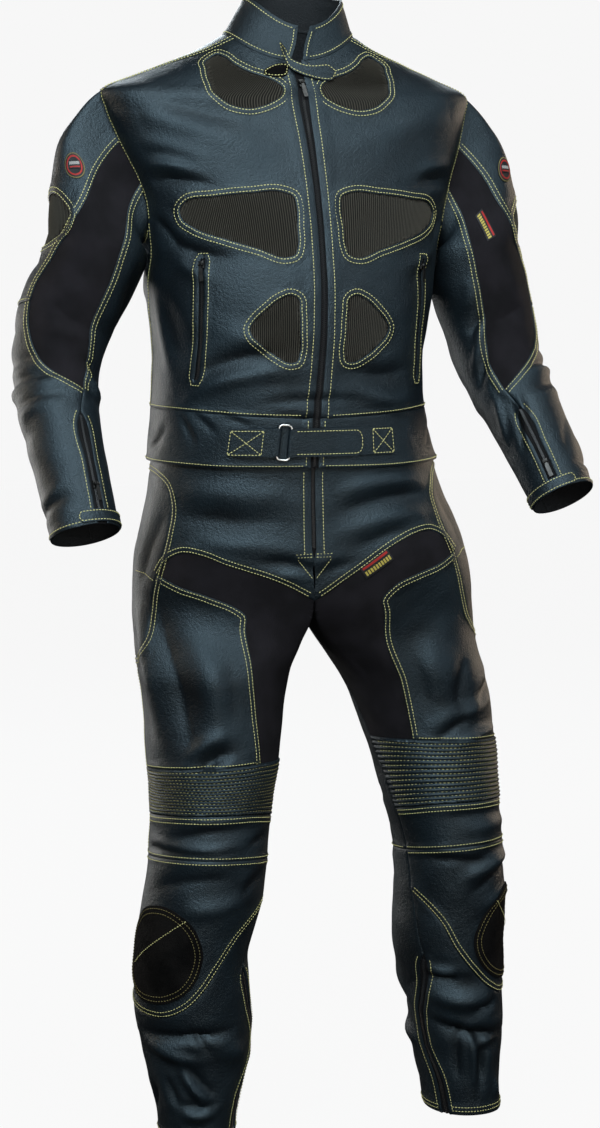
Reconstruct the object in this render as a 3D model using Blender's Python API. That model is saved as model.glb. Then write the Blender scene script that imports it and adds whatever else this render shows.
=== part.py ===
"""Two-piece leather race suit: a jacket and trousers in the hollow form that a wearer gives them.

Tables are in millimetres and degrees, and MM turns them into Blender's metres.
The jacket faces -Y. The origin is between the wearer's shoulders, where the jacket hangs on them.
"""

import math

import bmesh
import bpy
import numpy as np
from mathutils import Matrix, Vector
from mathutils.geometry import delaunay_2d_cdt

MM = 0.001
RIGHT, LEFT = -1, 1  # the wearer's sides, as signs of X

# ---------------------------------------------------------------- driving sizes
LEATHER = 1.4  # wall of the cowhide
STRETCH = 1.2  # wall of the stretch cloth and of the ribbed vents
COLLAR_WALL = 2.6  # two layers of leather
ZIP_WALL = 2.0  # tape and teeth
SEAM_GAP = 0.6  # between two pieces at a seam
PATCH_GAP = 0.4  # under what lies on a panel
SEAM_STEP = 38.0  # spacing of points along a seam
PANEL_STEP = 48.0  # spacing of points inside a panel
TROUSER_INSET = 6.5  # the trousers' top lies inside the jacket's band by this
SQUARE = 2.2  # roundness of the body's rings: 2 is an ellipse
SHARP = 50  # degrees between faces that meet at an edge and not in a curve

NECK = 65  # level of the collar seam
WAIST = -448  # level of the waist seam at the sides
WAIST_DIP = 11  # how far it dips at the centre front
BAND_BOTTOM = -521
TROUSER_TOP = -496
RISE_TOP, RISE_DROP = -690, 26  # the seam between the legs starts here and dips by this
PARTED = -820  # below this level the legs are plain tubes
FRONT_RISE, BACK_RISE = -55, 235  # leg angles of the centre-front and centre-back seams
# How far the pose draws the seams down, at the hip and above the knee
LEG_DROPS = {RIGHT: (16, 12), LEFT: (-9, -9)}
HIP_HIGH, HIP_LOW, KNEE_HIGH = -490, -700, -895  # the levels between which it does
CUFF, HEM = 520, -1398
COLLAR_HEIGHT = 48
SHOULDER_EASE = 130  # length over which the armhole becomes the arm's ring
SLEEVE_HEAD = 16  # fullness of the sleeve's outer side at the shoulder
SLEEVE_CLEAR = 0.016  # the sleeve keeps this share of the body's half width off the body

# Body rings from the crotch to the neck. A ring's height is its side's, dipping or rising at front and back.
# level, side_z, front_z, back_z, width, front, back, mid_x, mid_y, turn
BODY = [
    (-820, -820, -820, -820, 214, 84, 118, 20, 0, -8),
    (-708, -708, -708, -708, 222, 104, 132, 16, 0, -8),
    (-650, -650, -650, -650, 218, 120, 138, 13, 0, -8),
    (-598, -598, -598, -598, 207, 128, 134, 9, 0, -7),
    (-527, -527, -527, -527, 191, 134, 120, 1, 0, -4),
    (-448, -448, -448, -448, 178, 140, 108, -6, 0, 0),
    (-377, -377, -377, -377, 177, 146, 106, -6, 0, 2),
    (-312, -312, -312, -312, 185, 146, 114, -4, 0, 2),
    (-234, -234, -234, -234, 193, 132, 124, -1, 0, 1),
    (-170, -170, -172, -168, 206, 118, 130, -1, 0, 0),
    (-110, -112, -118, -108, 226, 102, 126, -4, 0, 0),
    (-70, -76, -88, -66, 236, 90, 114, -6, 0, 0),
    (-40, -52, -66, -34, 238, 82, 98, -7, 0, 0),
    (-10, -35, -52, -12, 202, 76, 88, -6, 3, 0),
    (20, -14, -38, 8, 152, 72, 80, -5, 5, -2),
    (45, 5, -25, 22, 110, 67, 73, -4, 6, -4),
    (65, 22, -14, 34, 82, 63, 66, -3, 8, -5),
]

# Armhole, on the body: way goes round from the shoulder (0) by the front (90) and the armpit (180).
# way, angle, level
ARMHOLE = [
    (0, 90, -40),
    (40, 86, -80),
    (75, 82, -125),
    (110, 78, -168),
    (145, 79, -212),
    (180, 90, -238),
    (215, 104, -215),
    (250, 109, -165),
    (290, 106, -110),
    (325, 98, -66),
    (360, 90, -40),
]

# Arm rings from the shoulder to the cuff.
# along, x, y, z, half_side, half_front
ARM = {
    RIGHT: [
        (0, -192, 2, -140, 60, 66),
        (60, -226, 4, -190, 64, 68),
        (160, -264, 6, -278, 64, 64),
        (250, -298, 4, -350, 60, 60),
        (300, -309, -10, -398, 55, 56),
        (370, -312, -46, -458, 50, 50),
        (450, -304, -88, -530, 45, 45),
        (520, -296, -122, -598, 43, 41),
        (540, -294, -130, -616, 43, 41),
    ],
    LEFT: [
        (0, 192, 2, -140, 60, 66),
        (60, 222, 4, -190, 64, 68),
        (160, 252, 6, -280, 64, 64),
        (250, 272, 4, -350, 60, 60),
        (300, 282, -10, -398, 56, 56),
        (370, 299, -46, -455, 50, 50),
        (450, 316, -86, -515, 45, 45),
        (520, 330, -118, -566, 42, 40),
        (540, 334, -126, -579, 42, 40),
    ],
}

# Leg rings from the hem to the crotch.
# level, mid_x, mid_y, half_side, half_front, half_back, turn
LEG = {
    RIGHT: [
        (-1420, -127, 10, 48, 52, 60, -12),
        (-1352, -127, 10, 56, 58, 66, -12),
        (-1287, -128, 8, 71, 66, 74, -12),
        (-1222, -134, 4, 76, 72, 80, -12),
        (-1157, -136, -2, 74, 76, 80, -10),
        (-1092, -124, -8, 78, 80, 78, -8),
        (-1027, -116, -12, 77, 84, 76, -6),
        (-962, -112, -12, 78, 86, 80, -6),
        (-897, -108, -8, 86, 92, 88, -6),
        (-832, -105, -2, 91, 96, 98, -6),
        (-767, -106, 0, 101, 102, 108, -6),
        (-700, -104, 6, 112, 104, 118, -8),
    ],
    LEFT: [
        (-1420, 247, 10, 48, 52, 60, 16),
        (-1352, 238, 10, 52, 58, 66, 16),
        (-1287, 233, 8, 60, 66, 74, 16),
        (-1222, 224, 4, 66, 72, 80, 16),
        (-1157, 216, -2, 72, 76, 80, 14),
        (-1092, 215, -8, 72, 80, 78, 12),
        (-1027, 210, -12, 71, 84, 76, 10),
        (-962, 200, -12, 76, 86, 80, 8),
        (-897, 189, -8, 83, 92, 88, 4),
        (-832, 175, -2, 92, 96, 98, 0),
        (-767, 155, 0, 98, 102, 108, -4),
        (-700, 138, 12, 108, 106, 116, -8),
    ],
}


# ---------------------------------------------------------------- curves and surfaces
def smooth(xs, ys):
    """A smooth curve through the rows of a table, as a function of its first column."""
    xs, ys = np.asarray(xs, float), np.asarray(ys, float)
    slopes = np.gradient(ys, xs, axis=0)

    def at(x):
        x = np.clip(np.asarray(x, float), xs[0], xs[-1])
        i = np.clip(np.searchsorted(xs, x, side="right") - 1, 0, len(xs) - 2)
        h = xs[i + 1] - xs[i]
        t = ((x - xs[i]) / h)[..., None]
        h = h[..., None]
        return (
            (1 + 2 * t) * (1 - t) ** 2 * ys[i]
            + t * (1 - t) ** 2 * h * slopes[i]
            + t * t * (3 - 2 * t) * ys[i + 1]
            + t * t * (t - 1) * h * slopes[i + 1]
        )

    return at


def table_curve(rows):
    return smooth([r[0] for r in rows], [r[1:] for r in rows])


def ease(t):
    t = np.clip(t, 0, 1)
    return t * t * (3 - 2 * t)


def power(v, n):
    return np.sign(v) * np.abs(v) ** n


BODY_AT = table_curve(BODY)
ARMHOLE_AT = table_curve(
    [(r[0] - 360, *r[1:]) for r in ARMHOLE[-4:-1]] + ARMHOLE + [(r[0] + 360, *r[1:]) for r in ARMHOLE[1:4]]
)
ARM_AT = {side: table_curve(rows) for side, rows in ARM.items()}
LEG_AT = {side: table_curve(rows) for side, rows in LEG.items()}


def turned(x, y, z, mid_x, mid_y, turn):
    t = np.radians(turn)
    return np.stack([mid_x + x * np.cos(t) - y * np.sin(t), mid_y + x * np.sin(t) + y * np.cos(t), z], -1)


def body(angle, level, inset=0.0):
    """Angle 0 is the centre front, 90 the wearer's left and 180 the centre back."""
    a = np.radians(np.asarray(angle, float))
    side_z, front_z, back_z, width, front, back, mid_x, mid_y, turn = np.moveaxis(BODY_AT(level + 0 * a), -1, 0)
    c, s = np.cos(a), np.sin(a)
    x = (width - inset) * power(s, 2 / SQUARE)
    y = -(np.where(c > 0, front, back) - inset) * power(c, 2 / SQUARE)
    z = side_z + np.where(c > 0, front_z - side_z, back_z - side_z) * c * c
    return turned(x, y, z, mid_x, mid_y, turn)


def clear_of_body(p, share):
    """Moves points that are inside the body, or too near it, straight out of it."""
    _, _, _, width, front, back, mid_x, mid_y, turn = np.moveaxis(BODY_AT(p[..., 2]), -1, 0)
    x, y = p[..., 0] - mid_x, p[..., 1] - mid_y
    size = (np.abs(x / width) ** SQUARE + np.abs(y / np.where(y < 0, front, back)) ** SQUARE) ** (1 / SQUARE)
    grow = np.maximum(1, (1 + share) / np.maximum(size, 0.2))
    return np.stack([mid_x + x * grow, mid_y + y * grow, p[..., 2]], -1)


def arm_ring(side, way, along):
    v = ARM_AT[side](along)
    a = np.clip(along, 4, CUFF)
    ahead = ARM_AT[side](a + 4)[..., :3] - ARM_AT[side](a - 4)[..., :3]
    ahead /= np.linalg.norm(ahead, axis=-1, keepdims=True)
    front = np.array([0, -1.0, 0]) + ahead * ahead[..., 1:2]
    front /= np.linalg.norm(front, axis=-1, keepdims=True)
    out = np.cross(front, ahead) * side
    w = np.radians(way)[..., None]
    return v[..., :3] + out * np.cos(w) * v[..., 3:4] + front * np.sin(w) * v[..., 4:5], out


def sleeve(side, way, along):
    """Way 0 is the arm's outer side, 90 its front, 180 its inner side. Along runs from armhole to cuff."""
    way, along = np.broadcast_arrays(np.asarray(way, float), np.asarray(along, float))
    at = ARMHOLE_AT(np.mod(way, 360))
    start = body(side * at[..., 0], at[..., 1])
    ring, out = arm_ring(side, way, along)
    first, _ = arm_ring(side, way, 0 * along)
    t = np.clip(along / SHOULDER_EASE, 0, 1)[..., None]
    head = SLEEVE_HEAD * np.sin(np.pi * t) * np.clip(np.cos(np.radians(way)), 0, 1)[..., None]
    p = ring + (start - first) * (1 - ease(t)) + out * head
    return clear_of_body(p, SLEEVE_CLEAR * np.clip(along / 40, 0, 1))


def leg(side, angle, level):
    """Angle 0 is the leg's front, 90 its outer side, 180 its back and -90 its inner side."""
    angle, level = np.broadcast_arrays(np.asarray(angle, float), np.asarray(level, float))
    angle = np.mod(angle - BACK_RISE, 360) + BACK_RISE - 360
    hip_drop, knee_drop = LEG_DROPS[side]
    outside = ease((angle - FRONT_RISE) / 50) * ease((BACK_RISE - angle) / 50)
    low = ease((HIP_LOW - level) / 150)
    level = level - hip_drop * outside * ease((HIP_HIGH - level) / 110) * (1 - low)
    level = level - knee_drop * low * (1 - ease((KNEE_HIGH - level) / 70))
    share = np.clip((FRONT_RISE - angle) / (360 + FRONT_RISE - BACK_RISE), 0, 1)
    inside = np.sin(np.pi * share)
    start_z = RISE_TOP - RISE_DROP * inside**0.6
    down = np.clip((RISE_TOP - level) / (RISE_TOP - PARTED), 0, 1)
    between = start_z + down * (PARTED - start_z)
    z = np.where((level > RISE_TOP) | (level < PARTED), level, between)
    mid_x, mid_y, half_side, half_front, half_back, turn = np.moveaxis(LEG_AT[side](z), -1, 0)
    b = np.radians(angle)
    s, c = np.sin(b), np.cos(b)
    tube = turned(side * half_side * s, -np.where(c > 0, half_front, half_back) * c, z, mid_x, mid_y, turn)
    round_body = np.clip((angle - FRONT_RISE) * 180 / (BACK_RISE - FRONT_RISE), 0, 180)
    inset = TROUSER_INSET * ease((z + 640) / 90)
    outer = body(side * round_body, z, inset)
    front, back = body(0 * z, z, inset), body(0 * z + 180, z, inset)
    w = share[..., None]
    half = np.where((angle < FRONT_RISE)[..., None], front * (1 - w) + back * w, outer)
    half[..., 2] = z
    d = np.clip((start_z - z) / 110, 0, 1)
    k = (ease(d) * (1 - inside) + (1 - (1 - d) ** 2) * inside)[..., None]
    return half * (1 - k) + tube * k


def collar(angle, up):
    a = np.radians(np.asarray(angle, float))
    base = body(angle, NECK)
    c, s = np.cos(a), np.sin(a)
    top = np.stack(
        [4 + 62 * s, 6 - np.where(c > 0, 50, 54) * c, np.where(c > 0, 68 - 40 * c * c, 68 + 20 * c * c)], -1
    )
    t = (np.asarray(up, float) / COLLAR_HEIGHT)[..., None]
    return base * (1 - t) + top * t


class Surface:
    """A surface with its outward side: sign says which way round its two coordinates go."""

    def __init__(self, at, sign, v_step):
        self.at, self.sign, self.v_step = at, sign, v_step

    def frame(self, uv):
        u, v = uv[:, 0], uv[:, 1]
        p = self.at(u, v)
        along_u = (self.at(u + 0.3, v) - self.at(u - 0.3, v)) / 0.6
        along_v = (self.at(u, v + self.v_step) - p) / self.v_step
        n = np.cross(along_u, along_v) * self.sign
        return p, n / np.linalg.norm(n, axis=1, keepdims=True), along_u, along_v


BODY_ROUND = Surface(body, 1, -1.0)
WAIST_ROUND = Surface(lambda u, v: body(u, v, TROUSER_INSET * ease((v + 640) / 90)), 1, -1.0)
BODY_SIDE = {side: Surface(lambda u, v, side=side: body(side * u, v), side, -1.0) for side in (RIGHT, LEFT)}
SLEEVE = {side: Surface(lambda u, v, side=side: sleeve(side, u, v), side, 1.0) for side in (RIGHT, LEFT)}
TROUSER = {side: Surface(lambda u, v, side=side: leg(side, u, v), side, -1.0) for side in (RIGHT, LEFT)}
COLLAR = Surface(collar, 1, 1.0)


# ---------------------------------------------------------------- seams
def sampled(points, size, step=SEAM_STEP, closed=False):
    """Points at an even spacing along a smooth curve. `size` is a coordinate unit's millimetres."""
    pts = np.asarray(points, float)
    if len(pts) == 2 and not closed:
        dense = pts[0] + (pts[1] - pts[0]) * np.linspace(0, 1, 60)[:, None]
    else:
        loop = np.vstack([pts[-3:], pts, pts[:4]]) if closed else pts
        chord = np.concatenate([[0], np.cumsum(np.linalg.norm(np.diff(loop * size, axis=0), axis=1))])
        lo, hi = (chord[3], chord[3 + len(pts)]) if closed else (0, chord[-1])
        dense = smooth(chord, loop)(np.linspace(lo, hi, 40 * len(pts)))
    run = np.concatenate([[0], np.cumsum(np.linalg.norm(np.diff(dense * size, axis=0), axis=1))])
    n = max(4 if closed else 1, round(run[-1] / step))
    at = np.linspace(0, run[-1], n + 1)
    out = np.stack([np.interp(at, run, dense[:, k]) for k in (0, 1)], -1)
    if not closed:
        out[0], out[-1] = pts[0], pts[-1]
        return out
    return out[:-1]


def chain(*runs):
    """One closed outline from seams laid end to end."""
    out = [r for run in runs for r in run[:-1]]
    return np.array(out)


def shifted(run, by):
    return run + np.array([by, 0.0])


def round_the_back(run):
    return np.stack([360 - run[:, 0], run[:, 1]], -1)


BODY_SIZE = np.array([3.0, 1.15])
ARM_SIZE = np.array([1.35, 0.72])  # along a limb the points lie further apart
LEG_SIZE = np.array([1.9, 0.78])


def body_seam(*points):
    return sampled(points, BODY_SIZE)


def arm_seam(*points):
    return sampled(points, ARM_SIZE)


def leg_seam(*points):
    return sampled(points, LEG_SIZE)


def armhole_run(way_from, way_to):
    n = max(1, round(abs(way_to - way_from) / 22))
    ways = np.linspace(way_from, way_to, n + 1)
    at = ARMHOLE_AT(np.mod(ways, 360))
    return np.stack([ways, 0 * ways], -1), at


# Jacket, for either side: (angle from the centre front, level).
ZIP_EDGE = body_seam((2.8, NECK), (1.5, 20), (1.1, -50), (1.1, WAIST - WAIST_DIP))
ZIP_LOW = body_seam((1.1, WAIST - WAIST_DIP), (1.1, BAND_BOTTOM))
NECK_FRONT = body_seam((2.8, NECK), (68, NECK))
NECK_BACK = body_seam((68, NECK), (180, NECK))
SHOULDER = body_seam((68, NECK), (73, 45), (80, 22), (86, -8), (90, -40))
HOLE_TOP_WAY, STRETCH_IN_WAY, SIDE_WAY, BACK_WAY = 68, 110, 150, 250
HOLE = {
    "front_high": armhole_run(0, HOLE_TOP_WAY),
    "front_mid": armhole_run(HOLE_TOP_WAY, STRETCH_IN_WAY),
    "front_low": armhole_run(STRETCH_IN_WAY, SIDE_WAY),
    "back_low": armhole_run(SIDE_WAY, BACK_WAY),
    "back_high": armhole_run(BACK_WAY, 360),
}
HOLE_ON_BODY = {name: run[1] for name, run in HOLE.items()}
SIDE_START = tuple(HOLE_ON_BODY["front_low"][-1])
SIDE = body_seam(SIDE_START, (83, -258), (90, -300), (93, -370), (94, WAIST))
WAIST_FRONT = body_seam((1.1, WAIST - WAIST_DIP), (25, WAIST - 8), (55, WAIST - 3), (94, WAIST))
WAIST_BACK = body_seam((94, WAIST), (180, WAIST))
BAND_LOW = body_seam((1.1, BAND_BOTTOM), (30, BAND_BOTTOM), (60, BAND_BOTTOM + 3), (180, BAND_BOTTOM + 6))
VENTS = {
    "vent_collar": [
        (55, 31), (56.5, 39), (50, 41), (37, 35), (24, 26), (12.5, 16), (6.8, 0), (5.6, -18),
        (6.6, -38), (10.4, -51), (15, -57), (19.6, -54), (25, -38), (34.2, -6), (45.4, 17),
    ],
    "vent_chest": [
        (55, -204), (51, -193), (37, -186), (22, -181), (11, -179), (7.5, -184), (6.8, -196), (7.3, -223),
        (7.9, -249), (9, -258), (12, -261), (22, -251), (35, -239), (49.4, -224), (54.4, -214),
    ],
    "vent_belly": [
        (28, -348), (26.3, -340), (21, -325), (15, -311), (11.2, -307), (8.8, -311), (8.2, -326),
        (8, -354), (8, -380), (9, -389), (11.5, -390), (17, -382), (23.2, -368), (27, -357),
    ],
}
VENT_STEP, POCKET_STEP = 22, 40  # spacing of points round a vent and along a pocket
POCKET_TOP, POCKET_LOW, POCKET_HALF = (47.5, -262), (54, -412), 6.5

# Sleeve, for either side: (way, along).
STRETCH_OUT = arm_seam((68, 0), (66, 40), (62, 80), (50, 110), (36, 142), (31, 175), (27, 208), (27, 235))
STRETCH_OUT_LOW = arm_seam((27, 235), (34, 262), (46, 292), (66, 325), (92, 344), (120, 356))
STRETCH_IN = arm_seam(
    (110, 0), (109, 45), (107, 90), (105, 125), (106, 155), (109, 200),
    (113, 250), (119, 282), (122, 305), (121, 335), (120, 356),
)
ELBOW = arm_seam((-110, 244), (-40, 240), (27, 235))
ARM_BACK_HIGH = arm_seam((-110, 0), (-110, 244))
ARM_BACK_LOW = arm_seam((-110, 244), (-110, CUFF))
ZIP_TOP = (113, 386)
FOREARM_IN = arm_seam((120, 356), ZIP_TOP)
CUFF_ZIP_OUT = arm_seam(ZIP_TOP, (106.5, 398), (105.5, 450), (104.5, CUFF))
CUFF_ZIP_IN = arm_seam(ZIP_TOP, (119.5, 398), (120.5, 450), (121.5, CUFF))
CUFF_OUTER = arm_seam((-110, CUFF), (104.5, CUFF))
CUFF_UNDER = arm_seam((121.5, CUFF), (250, CUFF))
CUFF_GAP = arm_seam((104.5, CUFF), (121.5, CUFF))
SLEEVE_VENT = [(-28, 106), (0, 96), (32, 95), (44, 102), (42, 114), (30, 130), (6, 149), (-18, 150), (-31, 132)]

# Trousers, for either side: (angle, level).
P_LOOP = (42, -643)  # the hip curve, the thigh's top line and the side loop meet here
FLY_EDGE = leg_seam((-51.5, TROUSER_TOP), (-51.5, -624))
FLY_END = leg_seam((-51.5, -624), (FRONT_RISE, -636))
CENTRE_FRONT = leg_seam((FRONT_RISE, -636), (FRONT_RISE, RISE_TOP))
CENTRE_BACK = leg_seam((BACK_RISE, TROUSER_TOP), (BACK_RISE, RISE_TOP))
INSEAM_ANGLE = -95
RISE_FRONT = leg_seam((FRONT_RISE, RISE_TOP), (INSEAM_ANGLE, RISE_TOP))
RISE_BACK = leg_seam((BACK_RISE, RISE_TOP), (360 + INSEAM_ANGLE, RISE_TOP))
TOP_FRONT = leg_seam((-51.5, TROUSER_TOP), (112, TROUSER_TOP))
TOP_BACK = leg_seam((112, TROUSER_TOP), (BACK_RISE, TROUSER_TOP))
OUTER_TOP = leg_seam((112, TROUSER_TOP), (112, -527))
OUTER_HIP = leg_seam((112, -527), (112, -620), (109, -700), (104, -758))
OUTER_THIGH = leg_seam((104, -758), (98, -830), (96, -900))
OUTER_KNEE = leg_seam((96, -900), (98, -972))
OUTER_BAND = leg_seam((98, -972), (101, -1026))
OUTER_SHIN = leg_seam((101, -1026), (104, -1100), (104, -1216))
LOOP_HIGH = leg_seam(
    (112, -527), (86, -527), (66, -531), (50, -541), (41, -560), (38, -590), (39, -620), P_LOOP
)
LOOP_LOW = leg_seam(P_LOOP, (46, -668), (50, -697), (58, -727), (76, -750), (104, -758))
HIP_CURVE = leg_seam(
    P_LOOP, (34, -624), (22, -614), (6, -617), (-8, -627), (-24, -643), (-40, -664), (FRONT_RISE, RISE_TOP)
)
THIGH_EDGE = leg_seam(
    P_LOOP, (22, -657), (2, -668), (-14, -682), (-21, -697), (-20, -715), (-22, -760), (-27, -815), (-36, -886)
)
INSEAM = leg_seam((INSEAM_ANGLE, RISE_TOP), (-96, -760), (-92, -820), (-84, -890))
INSEAM_KNEE = leg_seam((-84, -890), (-80, -975))
INSEAM_BAND = leg_seam((-80, -975), (-78, -1031))
INSEAM_SHIN = leg_seam((-78, -1031), (-75, -1085))
KNEE_TOP_IN = leg_seam((-84, -890), (-36, -886))
KNEE_TOP = leg_seam((-36, -886), (20, -889), (96, -900))
KNEE_LOW = leg_seam((-80, -975), (-28, -963), (20, -962), (98, -972))
BAND_LINE = leg_seam((-78, -1031), (-30, -1022), (20, -1019), (101, -1026))
SHIN_LINE = leg_seam(
    (-75, -1085), (-60, -1099), (-41, -1124), (-25, -1163), (-10, -1193),
    (6, -1215), (27, -1229), (55, -1230), (80, -1224), (104, -1216),
)
KNEE_BACK = leg_seam((101, -1026), (190, -1040), (282, -1031))
ANKLE_ZIP_TOP = (-61, -1170)
CALF_IN = leg_seam((-75, -1085), ANKLE_ZIP_TOP)
ANKLE_ZIP_FRONT = leg_seam(
    ANKLE_ZIP_TOP, (-59, -1182), (-64, -1215), (-77, -1262), (-77, -1302), (-62, -1347), (-58, HEM)
)
ANKLE_ZIP_BACK = leg_seam(
    ANKLE_ZIP_TOP, (-67, -1182), (-73, -1215), (-86, -1262), (-86, -1302), (-73, -1347), (-70, HEM)
)
HEM_ROUND = leg_seam((-58, HEM), (290, HEM))
HEM_GAP = leg_seam((-70, HEM), (-58, HEM))
SLIDER = [
    (76, -1094), (46, -1082), (20, -1096), (2, -1122), (-6, -1147), (-4, -1171), (6, -1193),
    (24, -1208), (45, -1212), (68, -1206), (84, -1188), (91, -1155), (88, -1118),
]


# ---------------------------------------------------------------- cutting cloth
COLLECTION = bpy.data.collections.new("race_suit")
MATERIALS = {}


def material(name, colour, metallic=0.0, roughness=0.5):
    if name not in MATERIALS:
        m = bpy.data.materials.new(name)
        m.use_nodes = True
        shader = m.node_tree.nodes["Principled BSDF"]
        shader.inputs["Base Color"].default_value = (*colour, 1)
        shader.inputs["Metallic"].default_value = metallic
        shader.inputs["Roughness"].default_value = roughness
        m.diffuse_color = (*colour, 1)
        MATERIALS[name] = m
    return MATERIALS[name]


SURFACE_LOOKS = {
    "leather": dict(colour=(0.02, 0.026, 0.034), roughness=0.42),
    "stretch": dict(colour=(0.012, 0.011, 0.014), roughness=0.9),
    "rib": dict(colour=(0.03, 0.028, 0.024), roughness=0.8),
    "tape": dict(colour=(0.01, 0.01, 0.012), roughness=0.8),
    "metal": dict(colour=(0.62, 0.62, 0.6), metallic=1.0, roughness=0.25),
}


def inside(points, loop):
    """Which points lie inside a closed outline."""
    x, y = points[:, 0:1], points[:, 1:2]
    a, b = loop, np.roll(loop, -1, axis=0)
    crosses = (a[:, 1] > y) != (b[:, 1] > y)
    rise = np.where(b[:, 1] == a[:, 1], 1e-12, b[:, 1] - a[:, 1])
    at = a[:, 0] + (y - a[:, 1]) / rise * (b[:, 0] - a[:, 0])
    return (np.sum(crosses & (x < at), axis=1) % 2) == 1


def distance(points, loop):
    a, b = loop[None], np.roll(loop, -1, axis=0)[None]
    d = b - a
    t = np.clip(np.sum((points[:, None] - a) * d, -1) / np.maximum(np.sum(d * d, -1), 1e-9), 0, 1)
    return np.min(np.linalg.norm(points[:, None] - a - d * t[..., None], axis=-1), axis=1)


def region_points(points, faces, edges):
    """For each triangle, a point well inside the region that the outlines put it in."""
    fixed = {frozenset(e) for e in edges}
    across = {}
    for k, f in enumerate(faces):
        for i in range(3):
            across.setdefault(frozenset((f[i], f[(i + 1) % 3])), []).append(k)
    a, b, c = points[faces[:, 0]], points[faces[:, 1]], points[faces[:, 2]]
    area = np.abs((b[:, 0] - a[:, 0]) * (c[:, 1] - a[:, 1]) - (b[:, 1] - a[:, 1]) * (c[:, 0] - a[:, 0]))
    middle = np.zeros((len(faces), 2))
    waiting = set(range(len(faces)))
    while waiting:
        region, front = [], [waiting.pop()]
        while front:
            k = front.pop()
            region.append(k)
            f = faces[k]
            for i in range(3):
                e = frozenset((f[i], f[(i + 1) % 3]))
                for other in across[e] if e not in fixed else ():
                    if other in waiting:
                        waiting.remove(other)
                        front.append(other)
        largest = max(region, key=lambda k: area[k])
        # a region with no width is a sliver beside a straight seam, outside the panel
        middle[region] = points[faces[largest]].mean(0) if area[largest] > 0.01 else np.inf
    return middle


class Piece:
    def __init__(self, name, surface, uv, faces, loops, wall, lift, look):
        self.name, self.surface, self.wall, self.lift, self.look = name, surface, wall, lift, look
        used = np.unique(faces)
        order = {old: new for new, old in enumerate(used)}
        self.faces = np.array([[order[i] for i in f] for f in faces])
        self.points, self.normals, _, _ = surface.frame(uv[used])
        self.loops = [[order[i] for i in loop if i in order] for loop in loops]
        p = self.points
        n = np.cross(p[self.faces[:, 1]] - p[self.faces[:, 0]], p[self.faces[:, 2]] - p[self.faces[:, 0]])
        if np.sum(n * self.normals[self.faces[:, 0]]) < 0:
            self.faces = self.faces[:, ::-1]


PIECES = []
EDGE_NORMALS = {}


def edge_key(p):
    return tuple(np.round(p * 20).astype(int))


def cut(name, surface, outline, size, wall=LEATHER, look="leather", inserts=(), patches=(), step=PANEL_STEP):
    """Cuts a panel and what is let into it or lies on it, all from one set of points.

    An insert fills a hole in the panel. A patch lies on the panel, and is made from its points, moved out.
    """
    loops = [outline] + [loop for _, loop, *_ in list(inserts) + list(patches)]
    scaled = [loop * size for loop in loops]
    box_lo, box_hi = scaled[0].min(0), scaled[0].max(0)
    rows = []
    for k, y in enumerate(np.arange(box_lo[1] + step / 2, box_hi[1], step * 0.866)):
        xs = np.arange(box_lo[0] + (step / 2 if k % 2 else step), box_hi[0], step)
        rows += [(x, y) for x in xs]
    grid = np.array(rows) if rows else np.zeros((0, 2))
    if len(grid):
        keep = inside(grid, scaled[0]) & (distance(grid, scaled[0]) > step * 0.42)
        for loop in scaled[1:]:
            keep &= distance(grid, loop) > step * 0.33
        grid = grid[keep]
    points = np.vstack(scaled + [grid])
    edges, first = [], 0
    ids = []
    for loop in scaled:
        n = len(loop)
        edges += [(first + i, first + (i + 1) % n) for i in range(n)]
        ids.append(list(range(first, first + n)))
        first += n
    out = delaunay_2d_cdt([Vector(p) for p in points], edges, [], 0, 1e-6)
    verts = np.array([tuple(v) for v in out[0]])
    if len(verts) != len(points):
        raise ValueError(f"{name}: two outlines cross or touch ({len(verts)} points from {len(points)})")
    origin = [o[0] for o in out[3]]
    faces = np.array([[origin[i] for i in f] for f in out[2]])
    middle = region_points(points, faces, edges)
    uv = points / size
    within = inside(middle, scaled[0])
    base = within.copy()
    for (part, _, part_wall, lift, part_look), loop, loop_ids in zip(
        list(inserts) + list(patches), scaled[1:], ids[1:]
    ):
        mine = within & inside(middle, loop)
        PIECES.append(Piece(part, surface, uv, faces[mine], [loop_ids], part_wall, lift, part_look))
    for loop in scaled[1 : 1 + len(inserts)]:
        base &= ~inside(middle, loop)
    PIECES.append(Piece(name, surface, uv, faces[base], ids[: 1 + len(inserts)], wall, 0.0, look))


def note_edges():
    for piece in PIECES:
        for loop in piece.loops:
            for i in loop:
                EDGE_NORMALS.setdefault(edge_key(piece.points[i]), []).append(piece.normals[i])


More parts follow.
